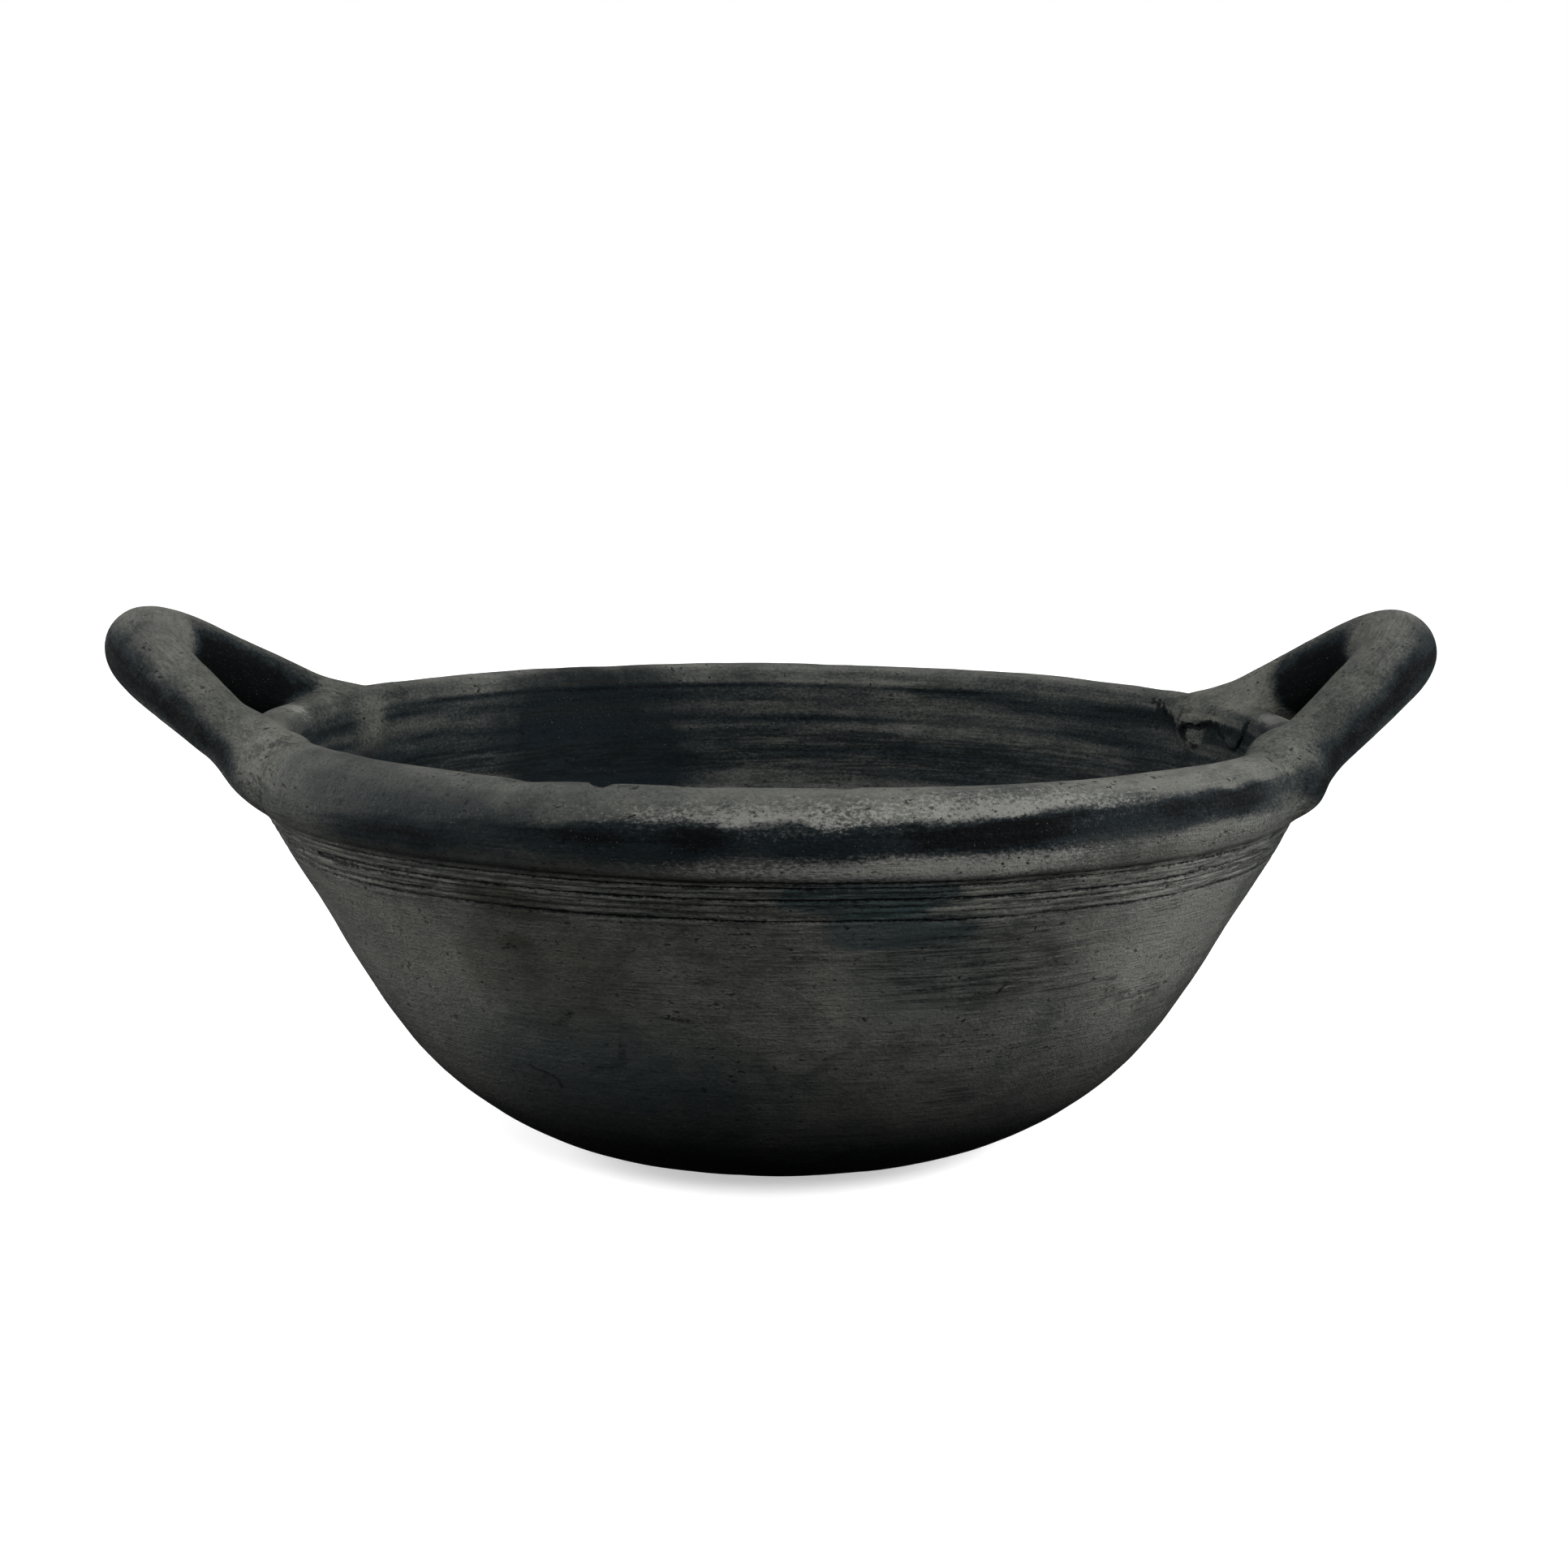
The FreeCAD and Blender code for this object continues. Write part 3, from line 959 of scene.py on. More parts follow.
@dataclass
class LutingWad:
    """Clay smeared round one foot of a handle, filling the crotch between the coil and the rim.

    The wad is a solid: the smooth union of the coil and the rim, less whatever lies outside a ball
    round the root or below the rim's heel. Its skin lies a hair above the coil and the rim, and
    dives under them towards its edges.
    """

    loop: Loop
    end: End
    rim: RimField
    hand: HandMade
    inner_edge: WadEdge = SMEARED
    crotch_fillet: float = 4.0
    outer_fillet: dict[End, float] = field(default_factory=lambda: {End.FRONT: 10.0, End.BACK: 5.0})
    waviness: float = 0.3
    fade: tuple[float, float] = (17.0, 30.0)        # from the wad's middle, where the fillet thins out
    reach: float = 33.0             # radius of the ball
    middle: tuple[float, float] = (8.0, 3.0)        # of the ball, from the root up the leg and to the crotch
    heel: float = 80.6              # lowest height outside the bowl
    flush_radius: float = 105.6     # at which the coil's end is trimmed inside the bowl
    crest: tuple[float, float] = (107.0, 109.5)     # radii between the bowl's inside and its outside
    skin_depth: float = 2.0         # how near the surface the shared lumps are worked out
    sink: float = 0.45              # how deep the skin dives at its edges
    step: float = 0.7

    def frame_at_root(self) -> tuple[Array, Array, Array, Array]:
        """Axes of the wad.

        Returns:
            Root point, the leg's direction, and the directions across it towards crotch and bowl.
        """
        s = 0.0 if self.end is End.FRONT else self.loop.length
        point, direction = (v[0] for v in self.loop.centre_line(np.array([s])))
        leg = direction if self.end is End.FRONT else -direction
        radial = unit(point * [1, 1, 0])
        tangent = np.cross([0, 0, 1], radial)
        tangent = tangent * np.sign(tangent @ leg)
        crotch = unit(tangent - (tangent @ leg) * leg)
        inward = np.cross(leg, crotch)
        inward = inward * np.sign(-inward @ radial)
        return point, leg, crotch, inward

    def centre(self) -> Array:
        """Middle of the ball that holds the wad."""
        point, leg, crotch, _ = self.frame_at_root()
        return point + self.middle[0] * leg + self.middle[1] * crotch

    def union(self, points: Array) -> Array:
        """Smooth union of the coil and the rim. The fillet is wavy, and thins out with distance.

        It is the smaller distance, less a quarter of the fillet times the square of how nearly the two
        are equal, as a share of the fillet.

        Args:
            points: (..., 3) positions.

        Returns:
            Distance from the joint surface, negative in the clay.
        """
        rim, coil = self.rim.distance(points), self.loop.distance(points)
        coil = np.maximum(coil, self.flush_radius - np.hypot(points[..., 0], points[..., 1]))
        away = np.linalg.norm(points - self.centre(), axis=-1)
        wavy = 1.0 + self.waviness * layered_noise(points, 10.0, 91, 1)
        root, _, crotch, _ = self.frame_at_root()
        outer = self.outer_fillet[self.end]
        size = outer + (self.crotch_fillet - outer) * ramp((points - root) @ crotch, -8.0, 8.0)
        fillet = size * wavy * (1 - ramp(away, *self.fade)) + 1e-6
        nearly = np.clip(fillet - np.abs(rim - coil), 0.0, None) / fillet
        return np.minimum(rim, coil) - nearly**2 * fillet / 4

    def edge_distance(self, points: Array) -> tuple[Array, Array]:
        """How far points lie from the wad's ragged edge: the nearer of the ball and the heel.

        Args:
            points: (..., 3) positions.

        Returns:
            Distance inwards from the edge, and how far inside the bowl the points are, 0 to 1.
        """
        away = np.linalg.norm(points - self.centre(), axis=-1)
        inside = 1 - ramp(np.hypot(points[..., 0], points[..., 1]), *self.crest)
        above = points[..., 2] - self.heel + self.inner_edge.apron * inside
        ragged = self.inner_edge.ragged * inside * (layered_noise(points, 10.0, 97, 3) - 0.4)
        return np.minimum(self.reach - away, above) + ragged, inside

    def solid(self, points: Array) -> Array:
        """Field of the whole wad: the smooth union, lifted by the wad's edge and the shared lumps.

        Args:
            points: (..., 3) positions.

        Returns:
            Distance from the wad's surface, negative in its clay.
        """
        torn, inside = self.edge_distance(points)
        away = np.linalg.norm(points - self.centre(), axis=-1)
        edge = np.minimum(self.reach - away, points[..., 2] - self.lowest())
        own = self.inner_edge
        low, high = (a + (b - a) * inside for a, b in zip(SMEARED.rise, own.rise))
        proud = SMEARED.proud + (own.proud - SMEARED.proud) * inside
        lift = proud - (proud + self.sink) * (1 - ramp(torn, low, high))
        skin = self.union(points) - lift
        near = np.abs(skin) < self.skin_depth
        skin[near] -= self.hand.lumps(points[near])
        return np.maximum(skin, -edge)

    def lowest(self) -> float:
        """Height of the wad's lowest clay."""
        return self.heel - max(self.inner_edge.apron, 0.0)

    def gradient(self, points: Array) -> Array:
        """Outward unit normals of the solid, by central differences over a short step each way."""
        steps = np.eye(3) * 0.3
        return unit(np.stack([self.solid(points + d) - self.solid(points - d) for d in steps], axis=-1))

    def soot_and_shade(self, points: Array) -> Array:
        """Smoke stain and painted shade, shared out between the coil's and the rim's by which of them is
        nearer.
        """
        share = ramp(self.rim.distance(points) - self.loop.distance(points), -5.0, 5.0)
        return share * self.loop.soot_and_shade(points) + (1 - share) * rim_and_inner_soot_and_shade(points)

    def build(self, name: str) -> bpy.types.Object:
        """Makes the wad's mesh from its field, and draws its points onto the surface in two steps.

        Args:
            name: name of the piece.

        Returns:
            The piece, without its finish.
        """
        margin = 3 * self.step
        half = self.reach + margin
        low, high = self.centre() - half, self.centre() + half
        low[2] = max(low[2], self.lowest() - margin)
        points, quads = surface_net(self.solid, low, high, self.step)
        for _ in range(2):
            points = points - self.solid(points)[:, None] * self.gradient(points)
        normals = self.gradient(points)
        root, *axes = self.frame_at_root()
        flow = (points - root) @ np.stack(axes, axis=-1)
        torn, inside = self.edge_distance(points)
        # painted shadow along the torn edge, carried by the hollow attribute
        hollow = self.inner_edge.torn_edge_shadow * inside * bump(torn - self.inner_edge.rise[0], 1.5)
        return make_mesh(name, self.hand.sag(points), [quads], normals,
                         {"flow": flow, "hollow": hollow, "soot_and_shade": self.soot_and_shade(points)})


# ---- the bowl -------------------------------------------------------------------------------------

@dataclass
class Bowl:
    """The turned part: one skin, cut into floor slab, belly, wall and rim."""

    outline: Outline
    hand: HandMade
    columns: int = 840
    hidden_rows: int = 3            # of a lap between two pieces
    ridge: float = 5.5              # height of the wall's ridge inside the rim
    foot_arch: float = 0.35         # how far the middle of the foot is hollowed
    grounded: tuple[float, float] = (1.0, 9.0)      # heights between which the lumps come up
    turning_heights: tuple[float, float] = (0.12, 0.06)     # of fine turning marks, inside and outside
    ring_height: float = 0.42       # of the broad rings inside
    seam_steps: tuple[float, float] = (5.0, -1.0)   # how much higher the two laps end on the inside
    outer_low_shade: Triple = (1.1, -2.0, 60.0)         # painted shade towards the foot: strength below, and heights between which it fades
    inner_smoke: Triple = (0.5, 0.0, 40.0)
    points: Array = field(init=False)
    normals: Array = field(init=False)
    stains_and_shade: Array = field(init=False)       # depth of the cuts, stain and painted shade, and darkening towards the bottom that is painted shade outside, 0 to 1
    marks: dict[str, int] = field(init=False)

    def __post_init__(self) -> None:
        """Works out the whole skin once, so that the pieces share their seams."""
        rz, self.marks = self.outline.rows()
        angle = math.pi / 2 + np.linspace(0.0, 2 * math.pi, self.columns, endpoint=False)
        circle = np.stack([np.cos(angle), np.sin(angle)], axis=-1)
        r, z = rz[:, :1], rz[:, 1:]
        bare = np.stack([r * circle[:, 0], r * circle[:, 1], z + 0 * r * circle[:, 0]], axis=-1)
        outward = self.outline_normals(rz, circle)
        push, cuts = self.relief(bare, rz)
        # The cut depth also darkens the colour, as painted shade in the grooves and dents.
        self.stains_and_shade = np.stack([cuts, np.zeros_like(cuts), np.zeros_like(cuts)], axis=-1)
        roll, inside = self.marks["roll"], self.marks["inside"]
        self.stains_and_shade[roll:inside, :, 1] = rim_and_inner_soot_and_shade(bare[roll:inside])
        self.stains_and_shade[inside:, :, 1] = inner_soot(bare[inside:])
        # Third channel: painted shade that darkens the outside towards the foot, and a darkening of the
        # inside towards its floor.
        for rows, (strength, low, high) in ((slice(roll), self.outer_low_shade),
                                            (slice(inside, None), self.inner_smoke)):
            self.stains_and_shade[rows, :, 2] = strength - strength * ramp(bare[rows, :, 2], low, high)
        self.points = self.hand.sag(bare + push[..., None] * outward)
        self.normals = grid_normals(self.points)

    @staticmethod
    def outline_normals(rz: Array, circle: Array) -> Array:
        """Normals of the plain surface of revolution: the outline's own, turned round the axis.

        Args:
            rz: (rows, 2) outline.
            circle: (columns, 2) cosine and sine of each column's angle.

        Returns:
            (rows, columns, 3) unit normals.
        """
        slope = unit(np.gradient(rz, axis=0))
        nr, nz = slope[:, 1:], -slope[:, :1]
        return np.stack([nr * circle[:, 0], nr * circle[:, 1], nz + 0 * nr * circle[:, 0]], axis=-1)

    def relief(self, bare: Array, rz: Array) -> tuple[Array, Array]:
        """How far the skin stands out from the plain surface, and how deep it is cut.

        The lumps fade out towards the foot, which has to stand flat. Turning marks are noise
        squeezed in height, so that it runs round the bowl.

        Args:
            bare: (rows, columns, 3) plain surface.
            rz: (rows, 2) outline.

        Returns:
            (rows, columns) push in millimetres, and the cuts' depth.
        """
        marks = self.marks
        row = np.arange(len(rz))[:, None]
        grounded = ramp(bare[..., 2], *self.grounded)
        push = self.hand.lumps(bare) * np.where(row < marks["roll"], grounded, 1.0)
        inside = row >= marks["neck"]
        turning = layered_noise(bare, (60.0, 60.0, 2.2), 301, 3)
        rings = layered_noise(bare, (150.0, 150.0, 7.5), 331, 2)
        below_rim = 1 - ramp(bare[..., 2], STEP_Z - 6.0, STEP_Z + 4.0)
        fine_inside, fine_outside = self.turning_heights
        turned = (fine_inside * turning + self.ring_height * rings) * below_rim
        push = push + np.where(inside, turned, fine_outside * turning * grounded)
        angle = np.degrees(np.arctan2(bare[..., 0], -bare[..., 1]))
        cuts = np.zeros(push.shape)
        band = slice(marks["band"], marks["roll"] + 3)
        for groove in GROOVES:
            cuts[band] += groove.depth_at(bare[band], angle[band])
        crest = slice(marks["roll"] + 40, marks["inside"] + 30)
        for dent in DENTS:
            cuts[crest] += dent.depth_at(bare[crest])
        foot = row < marks["floor_side"]
        arch = self.foot_arch * (1 - (rz[:, :1] / self.outline.foot_radius) ** 2) * foot
        return push - cuts - arch, cuts

    def lap(self, start: Array, end: Array, lift: float, up: float) -> tuple[Array, Array, Array]:
        """Hidden rows across the wall, from one skin to the other.

        They are straight blends of the two seams, raised in the middle by a ridge that falls off evenly
        to both sides.

        Args:
            start: (columns, 3) seam that they leave.
            end: (columns, 3) seam that they reach.
            lift: height of the ridge.
            up: Z of the normals, 1 or -1.

        Returns:
            Points, normals and zeroed stain and shade channels, each (hidden rows, columns, 3).
        """
        share = np.linspace(0, 1, self.hidden_rows + 2)[1:-1, None, None]
        upright = np.array([0.0, 0.0, 1.0])
        rows = (1 - share) * start + share * end + (1 - np.abs(2 * share - 1)) * lift * upright
        return rows, np.broadcast_to(up * upright, rows.shape), np.zeros_like(rows)

    def piece(self, name: str, outer: tuple[int, int], inner: tuple[int, int],
              ridge_above: float = 0.0, ridge_below: float = 0.0) -> bpy.types.Object:
        """One ring of the bowl: outer skin, lap, inner skin and lap, closed.

        Args:
            name: name of the piece.
            outer: first and last row of its outer skin.
            inner: first and last row of its inner skin, from the top down.
            ridge_above: height of the ridge on its top seam.
            ridge_below: height of the ridge that stands up into it from below.

        Returns:
            The piece, without its finish.
        """
        skins = [tuple(part[first:last + 1] for part in (self.points, self.normals, self.stains_and_shade))
                 for first, last in (outer, inner)]
        outside, inside = skins[0][0], skins[1][0]
        bands = [skins[0]]
        if outer[1] + 1 != inner[0]:
            bands.append(self.lap(outside[-1], inside[0], ridge_above, 1.0))
        bands.append(skins[1])
        closed = outer[0] > 0
        if closed:
            bands.append(self.lap(inside[-1], outside[0], ridge_below, -1.0))
        grid, normal, stain = (np.concatenate(part) for part in zip(*bands))
        points, normal, stain = (part.reshape(-1, 3) for part in (grid, normal, stain))
        faces = [closed_quads(len(grid), self.columns, join_rows=closed)]
        if not closed:
            count = len(points)
            points = np.vstack([points, grid[0].mean(axis=0), grid[-1].mean(axis=0)])
            stain = np.vstack([stain, stain[[0, -1]]])
            normal = np.vstack([normal, [[0, 0, -1], [0, 0, 1]]])
            last = np.arange(count - self.columns, count)
            faces.append(np.vstack([pole_fan(np.arange(self.columns), count, True),
                                    pole_fan(last, count + 1, False)]))
        return make_mesh(name, points, faces, normal, dict(zip(("hollow", "soot_and_shade", "foot"), stain.T)))

    def build(self, material: bpy.types.Material) -> None:
        """Cuts the skin into its four pieces.

        Args:
            material: the bowl's finish.
        """
        m = self.marks
        inner = np.arange(m["inside"], m["floor"])
        heights = self.points[inner].mean(axis=1)[:, 2]
        floor_seam, belly_seam = (int(inner[np.argmin(np.abs(heights - lap - step))])
                                  for lap, step in zip(self.outline.lap_heights, self.seam_steps))
        rings = (("floor_slab", (0, m["belly"]), (floor_seam, m["end"] - 1), 0.0, 0.0),
                 ("belly_coil", (m["belly"], m["wall"]), (belly_seam, floor_seam), 0.0, 0.0),
                 ("wall_coil", (m["wall"], m["roll"]), (m["inside"], belly_seam), self.ridge, 0.0),
                 ("rim_coil", (m["roll"], m["neck"]), (m["neck"] + 1, m["inside"]), 0.0, self.ridge))
        for node, *shape in rings:
            settle(self.piece(f"{node}_skin", *shape), material, "burnished_clay", node)


# ---- clay finishes --------------------------------------------------------------------------------

class Nodes:
    """Small helper that adds and joins the nodes of one material."""

    def __init__(self, name: str) -> None:
        """Starts an empty node material.

        Args:
            name: the material's name.
        """
        self.material = bpy.data.materials.new(name)
        self.material.use_nodes = True
        self.tree = self.material.node_tree
        self.tree.nodes.clear()

    def add(self, kind: str, **settings: object) -> bpy.types.Node:
        """Adds a node and sets its properties.

        Args:
            kind: Blender's name for the kind of node.
            **settings: properties by name.

        Returns:
            The node.
        """
        node = self.tree.nodes.new(kind)
        for key, value in settings.items():
            setattr(node, key, value)
        return node

    def feed(self, socket: Socket, value: object) -> None:
        """Joins a socket to another node's output, or sets its number.

        Args:
            socket: input to fill.
            value: output of another node, or a plain value.
        """
        if isinstance(value, bpy.types.NodeSocket):
            self.tree.links.new(value, socket)
        else:
            socket.default_value = value

    def attribute(self, name: str, output: str = "Fac") -> Socket:
        """Value of one of the mesh's vertex attributes."""
        return self.add("ShaderNodeAttribute", attribute_name=name).outputs[output]

    def math(self, operation: str, a: object, b: object = 0.0, clamp: bool = False) -> Socket:
        """Result of a Math node.

        Args:
            operation: name of the operation.
            a: first number.
            b: second number.
            clamp: whether the result is kept between 0 and 1.

        Returns:
            The result.
        """
        node = self.add("ShaderNodeMath", operation=operation, use_clamp=clamp)
        self.feed(node.inputs[0], a)
        self.feed(node.inputs[1], b)
        return node.outputs[0]

    def swing(self, value: Socket, height: float) -> Socket:
        """A 0 to 1 noise turned into one that swings round zero: value less a half, times height."""
        return self.math("MULTIPLY", self.math("SUBTRACT", value, 0.5), height)

    def vector(self, operation: str, a: object, b: object = None) -> Socket:
        """Result of a Vector Math node.

        Args:
            operation: name of the operation.
            a: first vector.
            b: second vector, or the number that SCALE multiplies by.

        Returns:
            A number for a length or a dot product, otherwise a vector.
        """
        node = self.add("ShaderNodeVectorMath", operation=operation)
        self.feed(node.inputs[0], a)
        if operation == "SCALE":
            self.feed(node.inputs["Scale"], b)
        elif b is not None:
            self.feed(node.inputs[1], b)
        return node.outputs["Value" if operation in ("LENGTH", "DOT_PRODUCT") else "Vector"]

    def noise(self, vector: object, scale: float, detail: float = 3.0, rough: float = 0.55,
              distortion: float = 0.0) -> Socket:
        """Noise texture.

        Args:
            vector: where it is read.
            scale: lumps for each unit of the vector.
            detail: how many finer layers are added.
            rough: how strong they are.
            distortion: how far the pattern is warped.

        Returns:
            Number between 0 and 1.
        """
        node = self.add("ShaderNodeTexNoise")
        self.feed(node.inputs["Vector"], vector)
        for key, value in (("Scale", scale), ("Detail", detail), ("Roughness", rough),
                           ("Distortion", distortion)):
            node.inputs[key].default_value = value
        return node.outputs["Fac"]

    def ramp(self, value: object, low: float, high: float, to_low: float = 0.0,
             to_high: float = 1.0) -> Socket:
        """Smooth step, 3t^2 - 2t^3 of the share of the way t.

        Args:
            value: number that is followed.
            low: value at which the change starts.
            high: value at which it ends.
            to_low: result below low.
            to_high: result above high.

        Returns:
            The result.
        """
        node = self.add("ShaderNodeMapRange", interpolation_type="SMOOTHSTEP")
        limits = {"From Min": low, "From Max": high, "To Min": to_low, "To Max": to_high}
        for key, number in limits.items():
            node.inputs[key].default_value = number
        self.feed(node.inputs["Value"], value)
        return node.outputs["Result"]

    def mix(self, factor: object, a: object, b: object) -> Socket:
        """Even blend of two colours.

        Args:
            factor: share of the second colour, 0 to 1.
            a: first colour.
            b: second colour.

        Returns:
            The colour.
        """
        node = self.add("ShaderNodeMix", data_type="RGBA", clamp_factor=True)
        self.feed(node.inputs["Factor"], factor)
        self.feed(node.inputs[6], a)
        self.feed(node.inputs[7], b)
        return node.outputs[2]

    def finish(self, shader: bpy.types.Node) -> bpy.types.Material:
        """Joins the shader to the material's output.

        Args:
            shader: node that holds the finish.

        Returns:
            The finished material.
        """
        output = self.add("ShaderNodeOutputMaterial")
        self.feed(output.inputs["Surface"], shader.outputs["BSDF"])
        return self.material


def grey(red: float, green: float, blue: float) -> Colour:
    """Opaque colour from three linear parts."""
    return red, green, blue, 1.0


@dataclass(frozen=True)
class ColourPatch:
    """An oval in space with ragged edges, laid over the colour. Some are fire marks from the kiln and pale
    scuffs; others are painted shade, painted highlights and painted sheen.
    """

    at: Triple
    size: Triple                # half its length along each axis
    colour: Colour
    strength: float = 0.8
    soft: float = 0.35          # half the width of its edge, as a share of its size
    ragged: float = 0.5
    speckled: float = 0.0       # how much fine speckle breaks it up


# Colours. The darkest greys also paint shade in the cuts, along a torn edge and towards the foot; INK also
# paints the shade band on the roll; the two palest greys paint highlights, sheen and light bounced from the
# floor, besides pale specks.
BLUE_BLACK = grey(0.016, 0.0275, 0.03)
INK = grey(0.004, 0.0075, 0.0095)
SOOT_AND_SHADE = grey(0.003, 0.0045, 0.005)
BLACK = grey(0.001, 0.0013, 0.0015)
BROWN_BLACK = grey(0.017, 0.0165, 0.0125)
ASH_AND_HIGHLIGHT = grey(0.26, 0.26, 0.24)
PAINTED_HIGHLIGHT = grey(0.1, 0.1, 0.09)

COLOUR_PATCHES = (
    ColourPatch(at=(17.0, -114.0, 76.5), size=(18.0, 16.0, 4.6), colour=BLUE_BLACK, strength=0.8,
              soft=0.16, ragged=0.3),
    ColourPatch(at=(21.0, -110.0, 69.0), size=(15.0, 16.0, 5.0), colour=BLUE_BLACK, strength=0.7, soft=0.2),
    ColourPatch(at=(28.0, -105.0, 58.0), size=(13.0, 14.0, 12.0), colour=BLUE_BLACK, strength=0.45, soft=0.6),
    # Stain and painted shade: the dark band across the front of the roll's middle.
    ColourPatch(at=(-27.0, -117.0, 87.0), size=(20.0, 12.0, 4.8), colour=INK, strength=0.85),
    ColourPatch(at=(8.0, -119.0, 87.5), size=(14.0, 8.0, 4.8), colour=INK, strength=0.85),
    ColourPatch(at=(-46.0, -90.0, 60.0), size=(18.0, 20.0, 18.0), colour=BROWN_BLACK, strength=0.45, soft=0.25),
    ColourPatch(at=(-52.0, -97.0, 73.0), size=(10.0, 9.0, 3.5), colour=BROWN_BLACK, strength=0.7, soft=0.5),
    ColourPatch(at=(-50.5, -91.0, 64.0), size=(3.8, 5.0, 2.6), colour=BROWN_BLACK, strength=0.6, soft=0.6),
    ColourPatch(at=(-34.0, -80.0, 34.0), size=(36.0, 24.0, 14.0), colour=BLUE_BLACK, strength=0.55, soft=0.6),
    # Stain and painted shade: the dark band on the roll's middle, left and right.
    ColourPatch(at=(-70.0, -88.0, 91.0), size=(34.0, 22.0, 6.0), colour=INK, strength=0.7, soft=0.7),
    ColourPatch(at=(64.0, -98.0, 89.0), size=(28.0, 18.0, 4.0), colour=INK, strength=0.85, soft=0.5),
    ColourPatch(at=(-58.0, -103.0, 89.5), size=(22.0, 16.0, 4.6), colour=INK, strength=0.7, soft=0.5),
    ColourPatch(at=(-98.0, 40.0, 78.0), size=(12.0, 14.0, 5.0), colour=SOOT_AND_SHADE, strength=0.85, soft=0.4),
    ColourPatch(at=(-52.0, 95.0, 74.0), size=(30.0, 26.0, 26.0), colour=SOOT_AND_SHADE, strength=0.93, soft=0.3),
    # Pale scuffs and a painted highlight on the top of the roll, where the light from above falls.
    ColourPatch(at=(-2.0, -117.5, 91.9), size=(17.0, 6.0, 1.9), colour=ASH_AND_HIGHLIGHT, strength=0.6,
              soft=0.7, speckled=1.0),
    ColourPatch(at=(2.0, -113.0, 95.0), size=(24.0, 6.0, 2.6), colour=PAINTED_HIGHLIGHT, strength=0.6,
              soft=0.9, speckled=0.6),
    ColourPatch(at=(42.0, -110.0, 92.6), size=(26.0, 12.0, 1.9), colour=ASH_AND_HIGHLIGHT, strength=0.45,
              soft=0.7, speckled=1.0),
    # Painted highlights on the rim's top under the two loops.
    ColourPatch(at=(-111.0, 7.0, 95.5), size=(4.0, 5.0, 3.0), colour=ASH_AND_HIGHLIGHT, strength=0.6, soft=0.4, speckled=0.3),
    ColourPatch(at=(111.0, 3.0, 95.5), size=(5.0, 9.0, 2.0), colour=ASH_AND_HIGHLIGHT, strength=0.25, soft=0.4, speckled=0.5),
    ColourPatch(at=(142.0, -14.0, 109.0), size=(8.0, 13.0, 10.0), colour=INK, strength=0.85, soft=0.5),
    ColourPatch(at=(-145.0, -16.0, 108.0), size=(10.0, 17.0, 11.0), colour=INK, strength=0.9, soft=0.6),
    ColourPatch(at=(120.0, -38.0, 94.0), size=(10.0, 9.0, 8.0), colour=SOOT_AND_SHADE, strength=0.6, soft=0.6),
    # Stain and painted shade: the roll's dark band carried down its underside on the left.
    ColourPatch(at=(-66.0, -96.0, 82.5), size=(42.0, 26.0, 4.0), colour=INK, strength=0.6, soft=0.6),
    # Painted sheen on the wall's right and left flanks.
    ColourPatch(at=(84.0, -74.0, 62.0), size=(22.0, 26.0, 28.0), colour=ASH_AND_HIGHLIGHT, strength=0.3, soft=0.6),
    ColourPatch(at=(-98.0, -56.0, 60.0), size=(17.0, 22.0, 26.0), colour=PAINTED_HIGHLIGHT, strength=0.3, soft=0.6),
    # Painted light on the roll's underside, standing for light bounced up from the floor.
    ColourPatch(at=(30.0, -113.0, 82.4), size=(40.0, 12.0, 2.6), colour=ASH_AND_HIGHLIGHT, strength=0.65,
              soft=0.5, speckled=0.4),
)


@dataclass(frozen=True)
class Scratch:
    """A line or nick scored into the wall, as straight runs from point to point."""

    path: tuple[Triple, ...]
    width: float                # from its middle to its edge
    strength: float
    broken: float = 0.0         # how far fine speckle breaks it up


WALL_FLARE = 0.6        # how far the wall leans out for each millimetre of height
SCRATCHES = (
    Scratch(path=((-49.9, -73.1, 34.3), (-46.8, -74.6, 33.7), (-44.5, -75.0, 32.5), (-43.7, -73.5, 30.4)),
            width=0.4, strength=0.95),
    Scratch(path=((-43.7, -73.5, 30.4), (-44.5, -71.8, 29.1), (-46.5, -71.1, 29.8), (-49.4, -71.2, 31.8)),
            width=0.3, strength=0.35),
    Scratch(path=((3.1, -88.7, 34.8), (14.9, -93.6, 44.4)),
            width=1.6, strength=0.3, broken=0.6),
    Scratch(path=((-36.8, -81.7, 36.2), (-30.8, -85.5, 38.2), (-30.6, -88.8, 43.1)),
            width=1.3, strength=0.55, broken=0.6),
    Scratch(path=((-20.9, -105.5, 67.0), (-17.3, -107.7, 69.6)),
            width=0.9, strength=0.5, broken=0.7),
    Scratch(path=((-22.4, -95.1, 49.7), (-16.8, -95.9, 49.1)),
            width=0.8, strength=0.8, broken=0.6),
    Scratch(path=((-42.8, -85.8, 46.4), (-40.8, -88.4, 49.1)),
            width=1.2, strength=0.5, broken=0.6),
    Scratch(path=((2.7, -105.5, 63.6), (6.1, -105.4, 63.5), (10.6, -104.5, 62.7), (14.9, -104.3, 63.1)),
            width=0.8, strength=0.6, broken=0.6),
    Scratch(path=((41.9, -90.9, 54.0), (43.2, -91.3, 55.7)),
            width=0.5, strength=0.9),
    Scratch(path=((16.1, -96.5, 49.9), (16.4, -96.2, 49.5)),
            width=0.5, strength=0.9),
    Scratch(path=((-1.1, -91.4, 39.1), (-0.7, -91.2, 38.7)),
            width=0.5, strength=0.8),
    Scratch(path=((-14.8, -86.8, 33.6), (-14.5, -86.3, 32.8)),
            width=0.45, strength=0.8),
)


